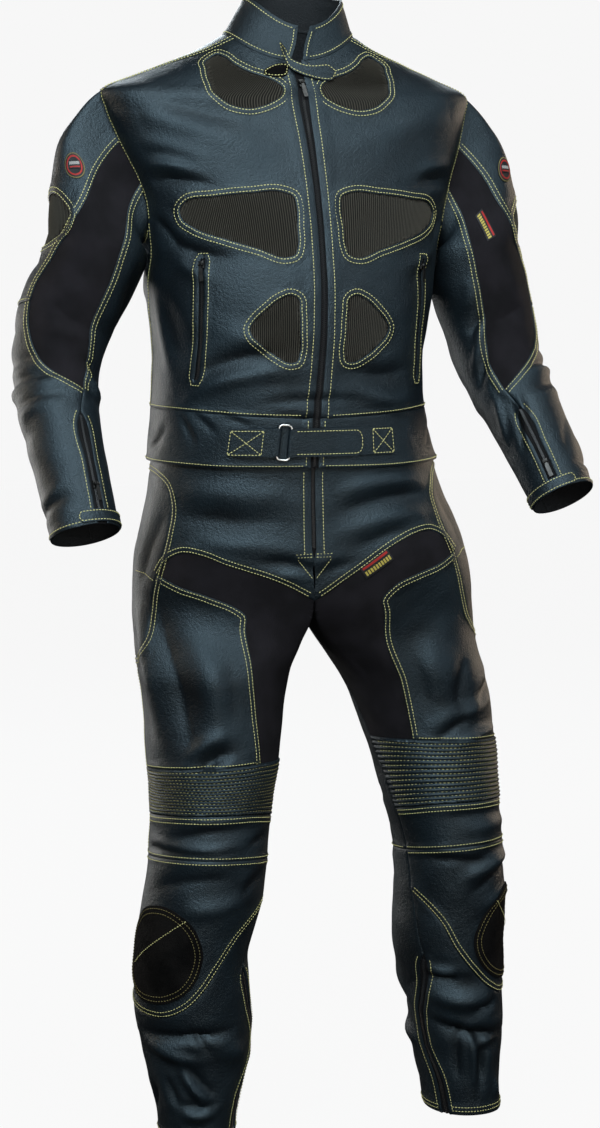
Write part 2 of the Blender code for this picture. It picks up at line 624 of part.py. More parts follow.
def sew(piece):
    """A closed wall for one piece, drawn back from its seams, as a mesh object."""
    count = len(piece.points)
    top, low = piece.points.copy(), piece.points.copy()
    normals = piece.normals.copy()
    rim = {}
    directed = {(f[i], f[(i + 1) % 3]) for f in piece.faces for i in range(3)}
    border = {a: b for a, b in directed if (b, a) not in directed}
    before = {b: a for a, b in border.items()}
    if set(border) != set(before) or np.isnan(top).any():
        raise ValueError(f"{piece.name}: its border isn't whole {sorted(set(border) ^ set(before))}")
    for i in border:
        shared = np.mean(EDGE_NORMALS.get(edge_key(piece.points[i]), [normals[i]]), axis=0)
        shared /= np.linalg.norm(shared)
        p, q, r = piece.points[before[i]], piece.points[i], piece.points[border[i]]
        n = normals[i]
        sides = []
        for d in (q - p, r - q):
            s = np.cross(n, d)
            sides.append(s / max(np.linalg.norm(s), 1e-9))
        draw = (sides[0] + sides[1]) / max(1 + sides[0] @ sides[1], 0.3)
        rim[i] = draw * SEAM_GAP / 2
        normals[i] = shared / max(shared @ n, 0.5)
    for i, draw in rim.items():
        top[i] = top[i] + draw
    low = top + normals * (piece.lift - piece.wall)
    top = top + normals * piece.lift
    faces = [tuple(f) for f in piece.faces]
    faces += [tuple(i + count for i in reversed(f)) for f in piece.faces]
    for a, b in border.items():
        faces.append((b, a, a + count))
        faces.append((b, a + count, b + count))
    return solid(piece.name, np.vstack([top, low]), faces, piece.look)


def finished(name, bm, look, origin=(0, 0, 0)):
    """One closed body as a named object, with its origin where it is held or turns."""
    bmesh.ops.recalc_face_normals(bm, faces=bm.faces)
    if bm.calc_volume(signed=True) < 0:
        bmesh.ops.reverse_faces(bm, faces=bm.faces)
    bmesh.ops.translate(bm, vec=-Vector(origin) * MM, verts=bm.verts)
    mesh = bpy.data.meshes.new(name)
    bm.to_mesh(mesh)
    bm.free()
    mesh.materials.append(material(look, **SURFACE_LOOKS[look]))
    obj = bpy.data.objects.new(name, mesh)
    obj.location = Vector(origin) * MM
    COLLECTION.objects.link(obj)
    return obj


def solid(name, points, faces, look):
    """A body from points in millimetres."""
    bm = bmesh.new()
    verts = [bm.verts.new(Vector(p) * MM) for p in points]
    for face in faces:
        bm.faces.new([verts[i] for i in face])
    return finished(name, bm, look)


def clear_scene():
    for obj in list(bpy.data.objects):
        bpy.data.objects.remove(obj, do_unlink=True)


# ---------------------------------------------------------------- made from frames on a surface
def place(surface, u, v, lift=0.0):
    """A frame on a surface: the point, across (with u), up (with v) and outward."""
    p, n, _, along_v = surface.frame(np.array([[u, v]], float))
    n = n[0]
    up = along_v[0] - n * (along_v[0] @ n)
    up /= np.linalg.norm(up)
    return p[0] + n * lift, np.cross(up, n), up, n


def ribbon(name, frames, width, wall, look, tip=1.0):
    """A strap swept along frames, each a centre, its width direction and its outward direction."""
    points, faces = [], []
    for k, (p, across, out) in enumerate(frames):
        half = width / 2 * (tip if k == len(frames) - 1 else 1)
        points += [p + across * half - out * wall / 2, p - across * half - out * wall / 2]
        points += [p - across * half + out * wall / 2, p + across * half + out * wall / 2]
    for k in range(len(frames) - 1):
        a, b = 4 * k, 4 * k + 4
        faces += [(a + i, a + (i + 1) % 4, b + (i + 1) % 4, b + i) for i in range(4)]
    faces += [(3, 2, 1, 0), tuple(4 * (len(frames) - 1) + i for i in range(4))]
    return solid(name, points, faces, look)


def front_angle(x, level):
    """The body angle at a distance across the front."""
    width = BODY_AT(np.array(float(level)))[3]
    return math.copysign(math.degrees(math.asin((abs(x) / width) ** (SQUARE / 2))), x)


def wire_ring(name, points, radius):
    """A closed ring of round wire through a loop of points."""
    data = bpy.data.curves.new(name, "CURVE")
    data.dimensions = "3D"
    data.bevel_depth, data.bevel_resolution = radius * MM, 2
    spline = data.splines.new("POLY")
    spline.points.add(len(points) - 1)
    for point, at in zip(spline.points, points):
        point.co = (*(at * MM), 1)
    spline.use_cyclic_u = True
    guide = bpy.data.objects.new(name, data)
    COLLECTION.objects.link(guide)
    bpy.context.view_layer.update()
    bm = bmesh.new()
    mesh = bpy.data.meshes.new_from_object(guide.evaluated_get(bpy.context.evaluated_depsgraph_get()))
    bm.from_mesh(mesh)
    bpy.data.meshes.remove(mesh)
    bpy.data.objects.remove(guide, do_unlink=True)
    return finished(name, bm, "metal")


def on_axes(centre, axes):
    """The matrix that puts a primitive's X, Y and Z on three axes at a centre."""
    turn = Matrix([list(axis) for axis in axes]).transposed().to_4x4()
    return Matrix.Translation(Vector(centre) * MM) @ turn


def box_at(name, centre, axes, sizes):
    bm = bmesh.new()
    stretch = Matrix.Diagonal((*(size * MM for size in sizes), 1))
    bmesh.ops.create_cube(bm, size=1.0, matrix=on_axes(centre, axes) @ stretch)
    return finished(name, bm, "metal")


def rod(name, centre, axes, radius, length, sides=14):
    """A round bar along the third of three axes."""
    bm = bmesh.new()
    bmesh.ops.create_cone(
        bm,
        cap_ends=True,
        segments=sides,
        radius1=radius * MM,
        radius2=radius * MM,
        depth=length * MM,
        matrix=on_axes(centre, axes),
    )
    return finished(name, bm, "metal", centre)


def blend(target, tool, operation):
    """Joins `tool` to `target`, or cuts it away, and removes the tool."""
    modifier = target.modifiers.new(operation.lower(), "BOOLEAN")
    modifier.object = tool
    modifier.operation = operation
    modifier.solver = "EXACT"
    bpy.context.view_layer.update()
    done = bpy.data.meshes.new_from_object(target.evaluated_get(bpy.context.evaluated_depsgraph_get()))
    target.modifiers.clear()
    done.name = target.name
    old, target.data = target.data, done
    bpy.data.meshes.remove(old)
    bpy.data.objects.remove(tool, do_unlink=True)


# ---------------------------------------------------------------- zip sliders and their tabs
SLIDER_LENGTH, SLIDER_WIDTH, SLIDER_HEIGHT, SLIDER_ROOT = 11.0, 7.6, 2.4, 2.4
CHEEK_GAP, CHEEK, CHEEK_LENGTH, CHEEK_TOP = 4.0, 1.3, 4.2, 1.2
PIN_HEIGHT, PIN_RADIUS = 4.7, 0.8
EYE_RADIUS, EYE_WIDTH, EYE_CLEAR = 1.9, 3.2, 0.3
TAB_LENGTH, TAB_WIDTH, TAB_WALL = 20.0, 5.2, 1.1


def slider_and_tab(zip_object, tab_name, surface, u, v, down_sign):
    """A slider on the zip's teeth with cheeks and a pin, and the tab that turns on the pin.

    Hands back the tab's name, its pin's place and the pin's axis.
    """
    p, across, up, out = place(surface, u, v)
    toward = up * down_sign  # the way the tab hangs
    height = SLIDER_HEIGHT + SLIDER_ROOT
    middle = p + out * (SLIDER_HEIGHT - SLIDER_ROOT) / 2
    tools = [box_at("slider", middle, (across, toward, out), (SLIDER_WIDTH, SLIDER_LENGTH, height))]
    for s in (-1, 1):
        middle = p + across * s * (CHEEK_GAP + CHEEK) / 2 + out * (PIN_HEIGHT + CHEEK_TOP) / 2
        sizes = (CHEEK, CHEEK_LENGTH, PIN_HEIGHT + CHEEK_TOP)
        tools.append(box_at("cheek", middle, (across, toward, out), sizes))
    pin = p + out * PIN_HEIGHT
    tools.append(rod("pin", pin, (toward, out, across), PIN_RADIUS, CHEEK_GAP + CHEEK))
    for tool in tools:
        blend(zip_object, tool, "UNION")
    end, _, _, end_out = place(surface, u, v + down_sign * TAB_LENGTH)
    hang = end + end_out * (PIN_HEIGHT + 0.3) - pin
    hang -= across * (hang @ across)
    toward = hang / np.linalg.norm(hang)
    out = np.cross(toward, across) * -down_sign
    tab = rod(tab_name, pin, (toward, out, across), EYE_RADIUS, EYE_WIDTH)
    stem = pin + toward * (EYE_RADIUS * 0.6 + TAB_LENGTH / 2)
    blend(tab, box_at("stem", stem, (across, toward, out), (EYE_WIDTH, TAB_LENGTH, TAB_WALL)), "UNION")
    blade_length = TAB_LENGTH - 4
    blade = pin + toward * (EYE_RADIUS + 3 + blade_length / 2)
    blend(tab, box_at("blade", blade, (across, toward, out), (TAB_WIDTH, blade_length, TAB_WALL)), "UNION")
    blend(tab, rod("bore", pin, (toward, out, across), PIN_RADIUS + EYE_CLEAR, EYE_WIDTH + 2), "DIFFERENCE")
    return tab_name, pin, across * down_sign


# ---------------------------------------------------------------- the suit
def cut_jacket():
    for side, tag in ((RIGHT, "r"), (LEFT, "l")):
        outline = chain(
            ZIP_EDGE,
            WAIST_FRONT,
            SIDE[::-1],
            HOLE_ON_BODY["front_low"][::-1],
            HOLE_ON_BODY["front_mid"][::-1],
            HOLE_ON_BODY["front_high"][::-1],
            SHOULDER[::-1],
            NECK_FRONT[::-1],
        )
        vents = [
            (f"{name}_{tag}", sampled(rows, BODY_SIZE, VENT_STEP, True), STRETCH, -0.3, "rib")
            for name, rows in VENTS.items()
        ]
        (au, av), (bu, bv), half = POCKET_TOP, POCKET_LOW, POCKET_HALF / 2.9
        pocket = np.vstack(
            [
                sampled([(au - half, av), (bu - half, bv)], BODY_SIZE, POCKET_STEP),
                sampled([(bu + half, bv), (au + half, av)], BODY_SIZE, POCKET_STEP),
            ]
        )
        vents.append((f"pocket_zip_{tag}", pocket, ZIP_WALL, -0.3, "tape"))
        cut(f"jacket_front_{tag}", BODY_SIDE[side], outline, BODY_SIZE, inserts=vents)
    back = chain(
        NECK_BACK,
        round_the_back(NECK_BACK)[::-1],
        round_the_back(SHOULDER),
        round_the_back(HOLE_ON_BODY["back_high"])[::-1],
        round_the_back(HOLE_ON_BODY["back_low"])[::-1],
        round_the_back(SIDE),
        round_the_back(WAIST_BACK),
        WAIST_BACK[::-1],
        SIDE[::-1],
        HOLE_ON_BODY["back_low"],
        HOLE_ON_BODY["back_high"],
        SHOULDER[::-1],
    )
    cut("jacket_back", BODY_ROUND, back, BODY_SIZE)
    band = chain(
        WAIST_FRONT,
        WAIST_BACK,
        round_the_back(WAIST_BACK)[::-1],
        round_the_back(WAIST_FRONT)[::-1],
        round_the_back(ZIP_LOW),
        round_the_back(BAND_LOW),
        BAND_LOW[::-1],
        ZIP_LOW[::-1],
    )
    cut("waistband", BODY_ROUND, band, BODY_SIZE, wall=1.8)
    other = np.array([-1, 1])
    teeth = chain(
        ZIP_EDGE,
        ZIP_LOW,
        np.array([(1.1, BAND_BOTTOM), (-1.1, BAND_BOTTOM)]),
        (ZIP_LOW * other)[::-1],
        (ZIP_EDGE * other)[::-1],
        np.array([(-2.8, NECK), (2.8, NECK)]),
    )
    cut("jacket_zip", BODY_ROUND, teeth, BODY_SIZE, wall=ZIP_WALL, look="tape")


def cut_collar():
    """The stand collar, open at the front between its two ends."""
    start = 4.0
    low = np.array([(start, 0)] + [(a, 0) for a, _ in NECK_FRONT if a > start + 4])
    low = np.vstack([low, [(a, 0) for a, _ in NECK_BACK[1:]]])
    low = np.vstack([low, round_the_back(low)[::-1][1:]])
    angles = [start + 3, *np.linspace(20, 340, 17), 357 - start]
    top = np.array([(a, COLLAR_HEIGHT) for a in angles])[::-1]
    outline = np.vstack([low, [(360 - start, 24)], top, [(start, 24)]])
    cut("collar", COLLAR, outline, np.array([1.3, 1.0]), wall=COLLAR_WALL, step=30)


def cut_sleeves():
    for side, tag in ((RIGHT, "r"), (LEFT, "l")):
        cloth = SLEEVE[side]
        hole = {name: run[0] for name, run in HOLE.items()}
        upper = chain(
            shifted(hole["back_high"], -360),
            hole["front_high"],
            STRETCH_OUT,
            ELBOW[::-1],
            ARM_BACK_HIGH[::-1],
        )
        vent = [(f"sleeve_vent_{tag}", sampled(SLEEVE_VENT, ARM_SIZE, 22, True), STRETCH, -0.3, "rib")]
        cut(f"sleeve_upper_{tag}", cloth, upper, ARM_SIZE, inserts=vent)
        stretch = chain(hole["front_mid"], STRETCH_IN, STRETCH_OUT_LOW[::-1], STRETCH_OUT[::-1])
        cut(f"sleeve_stretch_{tag}", cloth, stretch, ARM_SIZE, wall=STRETCH, look="stretch")
        under = chain(
            hole["front_low"],
            hole["back_low"],
            shifted(ARM_BACK_HIGH, 360),
            shifted(ARM_BACK_LOW, 360),
            CUFF_UNDER[::-1],
            CUFF_ZIP_IN[::-1],
            FOREARM_IN[::-1],
            STRETCH_IN[::-1],
        )
        cut(f"sleeve_under_{tag}", cloth, under, ARM_SIZE)
        forearm = chain(ELBOW, STRETCH_OUT_LOW, FOREARM_IN, CUFF_ZIP_OUT, CUFF_OUTER[::-1], ARM_BACK_LOW[::-1])
        cut(f"sleeve_forearm_{tag}", cloth, forearm, ARM_SIZE)
        teeth = chain(CUFF_ZIP_OUT, CUFF_GAP, CUFF_ZIP_IN[::-1])
        cut(f"cuff_zip_{tag}", cloth, teeth, ARM_SIZE, wall=ZIP_WALL, look="tape")


def cut_trousers():
    for side, tag in ((RIGHT, "r"), (LEFT, "l")):
        cloth = TROUSER[side]
        cut(
            f"hip_front_{tag}",
            cloth,
            chain(
                TOP_FRONT,
                OUTER_TOP,
                LOOP_HIGH,
                HIP_CURVE,
                CENTRE_FRONT[::-1],
                FLY_END[::-1],
                FLY_EDGE[::-1],
            ),
            LEG_SIZE,
        )
        cut(f"hip_side_{tag}", cloth, chain(LOOP_HIGH, LOOP_LOW, OUTER_HIP[::-1]), LEG_SIZE)
        cut(
            f"thigh_stretch_{tag}",
            cloth,
            chain(HIP_CURVE, RISE_FRONT, INSEAM, KNEE_TOP_IN, THIGH_EDGE[::-1]),
            LEG_SIZE,
            wall=STRETCH,
            look="stretch",
        )
        cut(
            f"thigh_leather_{tag}",
            cloth,
            chain(LOOP_LOW, OUTER_THIGH, KNEE_TOP[::-1], THIGH_EDGE[::-1]),
            LEG_SIZE,
        )
        cut(
            f"trouser_back_{tag}",
            cloth,
            chain(
                TOP_BACK,
                CENTRE_BACK,
                RISE_BACK,
                shifted(INSEAM, 360),
                shifted(INSEAM_KNEE, 360),
                shifted(INSEAM_BAND, 360),
                KNEE_BACK[::-1],
                OUTER_BAND[::-1],
                OUTER_KNEE[::-1],
                OUTER_THIGH[::-1],
                OUTER_HIP[::-1],
                OUTER_TOP[::-1],
            ),
            LEG_SIZE,
        )
        cut(
            f"knee_accordion_{tag}",
            cloth,
            chain(KNEE_TOP_IN, KNEE_TOP, OUTER_KNEE, KNEE_LOW[::-1], INSEAM_KNEE[::-1]),
            LEG_SIZE,
            wall=2.2,
        )
        band = chain(KNEE_LOW, OUTER_BAND, BAND_LINE[::-1], INSEAM_BAND[::-1])
        cut(f"knee_band_{tag}", cloth, band, LEG_SIZE)
        patch = [(f"slider_patch_{tag}", sampled(SLIDER, LEG_SIZE, 27, True), 1.2, PATCH_GAP + 1.2, "rib")]
        cut(
            f"shin_{tag}",
            cloth,
            chain(BAND_LINE, OUTER_SHIN, SHIN_LINE[::-1], INSEAM_SHIN[::-1]),
            LEG_SIZE,
            patches=patch,
        )
        cut(
            f"calf_{tag}",
            cloth,
            chain(
                KNEE_BACK,
                shifted(INSEAM_SHIN, 360),
                shifted(CALF_IN, 360),
                shifted(ANKLE_ZIP_BACK, 360),
                HEM_ROUND[::-1],
                ANKLE_ZIP_FRONT[::-1],
                CALF_IN[::-1],
                SHIN_LINE,
                OUTER_SHIN[::-1],
            ),
            LEG_SIZE,
        )
        cut(
            f"ankle_zip_{tag}",
            cloth,
            chain(ANKLE_ZIP_FRONT, HEM_GAP[::-1], ANKLE_ZIP_BACK[::-1]),
            LEG_SIZE,
            wall=ZIP_WALL,
            look="tape",
        )
    scale = 180 / (BACK_RISE - FRONT_RISE)
    edge = np.stack([(FLY_EDGE[:, 0] - FRONT_RISE) * scale, FLY_EDGE[:, 1]], -1)
    end = np.stack([(FLY_END[:, 0] - FRONT_RISE) * scale, FLY_END[:, 1]], -1)
    other = np.array([-1, 1])
    fly = chain(edge, end, (end * other)[::-1], (edge * other)[::-1], np.array([edge[0] * other, edge[0]]))
    cut("fly_zip", WAIST_ROUND, fly, BODY_SIZE, wall=ZIP_WALL, look="tape")


BELT_LEVEL, BELT_WIDTH, BELT_WALL = -488, 35.0, 1.6
RING_X, RING_HALF, RING_TALL, RING_WIRE, RING_LIFT = -40, 8.0, 22.0, 1.5, 4.3
ANCHOR_END, BELT_ROOT, BELT_TIP = -104, 104, 59


def belt_point(x, lift):
    return place(BODY_ROUND, front_angle(x, BELT_LEVEL), BELT_LEVEL, lift)


def belt_frame(x, lift):
    p, _, up, out = belt_point(x, lift)
    return p, up, out


def make_belt():
    centre, across, up, out = belt_point(RING_X, RING_LIFT)
    loop = []
    for cx, cz, start in ((1, 1, 0), (-1, 1, 90), (-1, -1, 180), (1, -1, 270)):
        for k in range(5):
            a = math.radians(start + 22.5 * k)
            x = cx * (RING_HALF - 5) + 5 * math.cos(a)
            z = cz * (RING_TALL - 5) + 5 * math.sin(a)
            loop.append(centre + across * x + up * z)
    wire_ring("belt_ring", loop, RING_WIRE)
    bend = RING_WIRE + 0.4 + BELT_WALL / 2
    tails = (("belt_strap", 1, BELT_ROOT, BELT_TIP), ("belt_anchor", -1, ANCHOR_END, ANCHOR_END + 2))
    for name, sign, root, tip in tails:
        bar = centre + across * sign * RING_HALF
        frames = [belt_frame(x, 2.0) for x in np.linspace(root, RING_X + sign * (RING_HALF + 4), 9)]
        for k in range(7):
            a = math.radians(-90 + 30 * k)
            round_bar = -across * sign * math.cos(a) + out * math.sin(a)
            frames.append((bar + round_bar * bend, up, -round_bar))
        lifts = np.linspace(RING_LIFT + bend - 0.4, 4.6, 8)
        for x, h in zip(np.linspace(RING_X + sign * (RING_HALF + 6), tip, 8), lifts):
            p, w, n = belt_frame(x, h)
            frames.append((p, w, -n))
        ribbon(name, frames, BELT_WIDTH, BELT_WALL, "leather")


# The neck strap, from its sewn end to its free tip: surface, angle, level or height, lift
NECK_STRAP = [
    (BODY_ROUND, 17, 34, 2.2),
    (BODY_ROUND, 12, 35, 2.2),
    (BODY_ROUND, 7, 37, 2.4),
    (BODY_ROUND, 2, 43, 3.4),
    (BODY_ROUND, -4, 52, 5.0),
    (COLLAR, -10, 4, 9.0),
    (COLLAR, -15, 11, 14.0),
    (COLLAR, -18, 17, 19.0),
]


def make_straps():
    stations = []
    for surface, angle, level, lift in NECK_STRAP:
        p, _, up, out = place(surface, angle, level, lift)
        stations.append(np.concatenate([p, up, out]))
    frames = []
    for row in smooth_line(stations, 14):
        p, up, out = row[:3], row[3:6], row[6:]
        frames.append((p, up / np.linalg.norm(up), out / np.linalg.norm(out)))
    ribbon("neck_strap", frames, 15.0, 1.6, "leather", tip=0.55)
    for side, tag in ((RIGHT, "r"), (LEFT, "l")):
        frames = []
        for way in np.linspace(76, 190, 12):
            p, _, up, out = place(SLEEVE[side], way, CUFF - 9.5, 1.8)
            frames.append((p, up, out))
        ribbon(f"cuff_strap_{tag}", frames, 16.0, 1.6, "leather")


def smooth_line(points, count):
    """Rows at an even spacing along a smooth curve; the first three columns are its place."""
    pts = np.asarray(points, float)
    run = np.concatenate([[0], np.cumsum(np.linalg.norm(np.diff(pts[:, :3], axis=0), axis=1))])
    return smooth(run, pts)(np.linspace(0, run[-1], count))


def main():
    clear_scene()
    bpy.context.scene.collection.children.link(COLLECTION)
    cut_jacket()
    cut_collar()
    cut_sleeves()
    cut_trousers()
    note_edges()
    made = {piece.name: sew(piece) for piece in PIECES}
    make_belt()
    make_straps()
    hinges = [slider_and_tab(made["jacket_zip"], "jacket_zip_pull", BODY_ROUND, 0, 6, -1)]
    for side, tag in ((RIGHT, "r"), (LEFT, "l")):
        u, v = POCKET_TOP
        pocket = made[f"pocket_zip_{tag}"]
        hinges.append(slider_and_tab(pocket, f"pocket_pull_{tag}", BODY_SIDE[side], u + 0.3, v - 8, -1))
        hinges.append(slider_and_tab(made[f"cuff_zip_{tag}"], f"cuff_pull_{tag}", SLEEVE[side], 113, 476, 1))
    for obj in COLLECTION.objects:
        obj.data.shade_smooth()
        obj.data.set_sharp_from_angle(angle=math.radians(SHARP))
    for name, pin, axis in hinges:
        at = ", ".join(f"{c * MM:.6f}" for c in pin)
        along = ", ".join(f"{c:.6f}" for c in axis)
        print(f"hinge {name}: pos_m [{at}] axis [{along}]")


if __name__ == "__main__":
    main()
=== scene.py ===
"""Finish and fine shape of a two-piece leather race suit, built over its frame of plain panels.

Tables are in millimetres and degrees, and MM turns them into Blender's metres. The jacket faces -Y.
"""

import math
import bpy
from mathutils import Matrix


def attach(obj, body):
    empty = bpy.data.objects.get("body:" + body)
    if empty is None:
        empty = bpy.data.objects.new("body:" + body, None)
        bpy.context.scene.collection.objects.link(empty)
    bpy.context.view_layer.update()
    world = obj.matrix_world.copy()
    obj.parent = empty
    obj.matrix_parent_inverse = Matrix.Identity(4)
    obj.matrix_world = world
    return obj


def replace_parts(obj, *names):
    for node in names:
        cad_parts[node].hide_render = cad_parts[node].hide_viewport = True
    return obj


bl_info = {
    "name": "Race suit",
    "version": (1, 0, 0),
    "blender": (4, 5, 0),
    "location": "3D View > Sidebar > Race suit",
    "description": "Cuts, sews and finishes a two-piece leather race suit",
    "category": "Add Mesh",
}

from functools import partial

import bmesh
import bpy
import numpy as np
from bpy.props import FloatProperty, FloatVectorProperty, IntProperty, PointerProperty
from mathutils import Matrix, Vector
from mathutils.geometry import delaunay_2d_cdt
from mathutils.kdtree import KDTree

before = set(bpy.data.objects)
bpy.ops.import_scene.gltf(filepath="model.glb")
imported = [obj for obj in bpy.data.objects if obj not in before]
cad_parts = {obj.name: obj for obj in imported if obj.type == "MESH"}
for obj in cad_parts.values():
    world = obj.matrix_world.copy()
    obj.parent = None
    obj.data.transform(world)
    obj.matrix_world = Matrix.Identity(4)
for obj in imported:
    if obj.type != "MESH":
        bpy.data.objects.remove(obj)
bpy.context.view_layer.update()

MM = 0.001
RIGHT, LEFT = -1, 1  # the wearer's sides, as signs of X
SIDES = ((RIGHT, "r"), (LEFT, "l"))
BODY_NAME = "suit"

# ---------------------------------------------------------------- sizes that the frame's panels have
SQUARE = 2.2  # roundness of the body's rings: 2 is an ellipse
TROUSER_INSET = 6.5  # the trousers' top lies inside the jacket's band by this
NECK = 65  # level of the collar seam
WAIST = -448  # level of the waist seam at the sides
WAIST_DIP = 11  # how far it dips at the centre front
BAND_BOTTOM = -521
TROUSER_TOP = -496
RISE_TOP, RISE_DROP = -690, 26  # the seam between the legs starts here and dips by this
PARTED = -820  # below this level the legs are plain tubes
FRONT_RISE, BACK_RISE = -55, 235  # leg angles of the centre-front and centre-back seams
# How far the pose draws the seams down, at the hip and above the knee.
LEG_DROPS = {RIGHT: (16, 12), LEFT: (-9, -9)}
HIP_HIGH, HIP_LOW, KNEE_HIGH = -490, -700, -895  # the levels between which it does
CUFF, HEM = 520, -1398
COLLAR_HEIGHT = 48
SHOULDER_EASE = 130  # length over which the armhole becomes the arm's ring
SLEEVE_HEAD = 16  # fullness of the sleeve's outer side at the shoulder
SLEEVE_CLEAR = 0.016  # the sleeve keeps this share of the body's half width off the body

# Body rings from the crotch to the neck. A ring's height is its side's, dipping or rising at front and back.
# level, side_z, front_z, back_z, width, front, back, mid_x, mid_y, turn
BODY = [
    (-820, -820, -820, -820, 214, 84, 118, 20, 0, -8),
    (-708, -708, -708, -708, 222, 104, 132, 16, 0, -8),
    (-650, -650, -650, -650, 218, 120, 138, 13, 0, -8),
    (-598, -598, -598, -598, 207, 128, 134, 9, 0, -7),
    (-527, -527, -527, -527, 191, 134, 120, 1, 0, -4),
    (-448, -448, -448, -448, 178, 140, 108, -6, 0, 0),
    (-377, -377, -377, -377, 177, 146, 106, -6, 0, 2),
    (-312, -312, -312, -312, 185, 146, 114, -4, 0, 2),
    (-234, -234, -234, -234, 193, 132, 124, -1, 0, 1),
    (-170, -170, -172, -168, 206, 118, 130, -1, 0, 0),
    (-110, -112, -118, -108, 226, 102, 126, -4, 0, 0),
    (-70, -76, -88, -66, 236, 90, 114, -6, 0, 0),
    (-40, -52, -66, -34, 238, 82, 98, -7, 0, 0),
    (-10, -35, -52, -12, 202, 76, 88, -6, 3, 0),
    (20, -14, -38, 8, 152, 72, 80, -5, 5, -2),
    (45, 5, -25, 22, 110, 67, 73, -4, 6, -4),
    (65, 22, -14, 34, 82, 63, 66, -3, 8, -5),
]

# Armhole, on the body: way goes round from the shoulder (0) by the front (90) and the armpit (180).
# way, angle, level
ARMHOLE = [
    (0, 90, -40),
    (40, 86, -80),
    (75, 82, -125),
    (110, 78, -168),
    (145, 79, -212),
    (180, 90, -238),
    (215, 104, -215),
    (250, 109, -165),
    (290, 106, -110),
    (325, 98, -66),
    (360, 90, -40),
]

# Arm rings from the shoulder to the cuff.
# along, x, y, z, half_side, half_front
ARM = {
    RIGHT: [
        (0, -192, 2, -140, 60, 66),
        (60, -226, 4, -190, 64, 68),
        (160, -264, 6, -278, 64, 64),
        (250, -298, 4, -350, 60, 60),
        (300, -309, -10, -398, 55, 56),
        (370, -312, -46, -458, 50, 50),
        (450, -304, -88, -530, 45, 45),
        (520, -296, -122, -598, 43, 41),
        (540, -294, -130, -616, 43, 41),
    ],
    LEFT: [
        (0, 192, 2, -140, 60, 66),
        (60, 222, 4, -190, 64, 68),
        (160, 252, 6, -280, 64, 64),
        (250, 272, 4, -350, 60, 60),
        (300, 282, -10, -398, 56, 56),
        (370, 299, -46, -455, 50, 50),
        (450, 316, -86, -515, 45, 45),
        (520, 330, -118, -566, 42, 40),
        (540, 334, -126, -579, 42, 40),
    ],
}

# Leg rings from the hem to the crotch.
# level, mid_x, mid_y, half_side, half_front, half_back, turn
LEG = {
    RIGHT: [
        (-1420, -127, 10, 48, 52, 60, -12),
        (-1352, -127, 10, 56, 58, 66, -12),
        (-1287, -128, 8, 71, 66, 74, -12),
        (-1222, -134, 4, 76, 72, 80, -12),
        (-1157, -136, -2, 74, 76, 80, -10),
        (-1092, -124, -8, 78, 80, 78, -8),
        (-1027, -116, -12, 77, 84, 76, -6),
        (-962, -112, -12, 78, 86, 80, -6),
        (-897, -108, -8, 86, 92, 88, -6),
        (-832, -105, -2, 91, 96, 98, -6),
        (-767, -106, 0, 101, 102, 108, -6),
        (-700, -104, 6, 112, 104, 118, -8),
    ],
    LEFT: [
        (-1420, 247, 10, 48, 52, 60, 16),
        (-1352, 238, 10, 52, 58, 66, 16),
        (-1287, 233, 8, 60, 66, 74, 16),
        (-1222, 224, 4, 66, 72, 80, 16),
        (-1157, 216, -2, 72, 76, 80, 14),
        (-1092, 215, -8, 72, 80, 78, 12),
        (-1027, 210, -12, 71, 84, 76, 10),
        (-962, 200, -12, 76, 86, 80, 8),
        (-897, 189, -8, 83, 92, 88, 4),
        (-832, 175, -2, 92, 96, 98, 0),
        (-767, 155, 0, 98, 102, 108, -4),
        (-700, 138, 12, 108, 106, 116, -8),
    ],
}


# ---------------------------------------------------------------- curves and surfaces
def smooth(xs, ys):
    """A smooth curve through the rows of a table, as a function of its first column."""
    xs, ys = np.asarray(xs, float), np.asarray(ys, float)
    slopes = np.gradient(ys, xs, axis=0)

    def at(x):
        x = np.clip(np.asarray(x, float), xs[0], xs[-1])
        i = np.clip(np.searchsorted(xs, x, side="right") - 1, 0, len(xs) - 2)
        h = xs[i + 1] - xs[i]
        t = ((x - xs[i]) / h)[..., None]
        h = h[..., None]
        return (
            (1 + 2 * t) * (1 - t) ** 2 * ys[i]
            + t * (1 - t) ** 2 * h * slopes[i]
            + t * t * (3 - 2 * t) * ys[i + 1]
            + t * t * (t - 1) * h * slopes[i + 1]
        )

    return at


def table_curve(rows):
    return smooth([r[0] for r in rows], [r[1:] for r in rows])


def distances(points):
    """How far each point of a run is from its start."""
    return np.concatenate([[0], np.cumsum(np.linalg.norm(np.diff(points, axis=0), axis=1))])


def read_off(at, run, rows):
    """Each column of some rows, read off at distances along their run."""
    return np.stack([np.interp(at, run, column) for column in rows.T], -1)


def units(v):
    return v / np.maximum(np.linalg.norm(v, axis=1, keepdims=True), 1e-9)


def ease(t):
    t = np.clip(t, 0, 1)
    return t * t * (3 - 2 * t)


def power(v, n):
    return np.sign(v) * np.abs(v) ** n


BODY_AT = table_curve(BODY)
ARMHOLE_AT = table_curve(
    [(r[0] - 360, *r[1:]) for r in ARMHOLE[-4:-1]] + ARMHOLE + [(r[0] + 360, *r[1:]) for r in ARMHOLE[1:4]]
)
ARM_AT = {side: table_curve(rows) for side, rows in ARM.items()}
LEG_AT = {side: table_curve(rows) for side, rows in LEG.items()}


def turned(x, y, z, mid_x, mid_y, turn):
    t = np.radians(turn)
    return np.stack([mid_x + x * np.cos(t) - y * np.sin(t), mid_y + x * np.sin(t) + y * np.cos(t), z], -1)


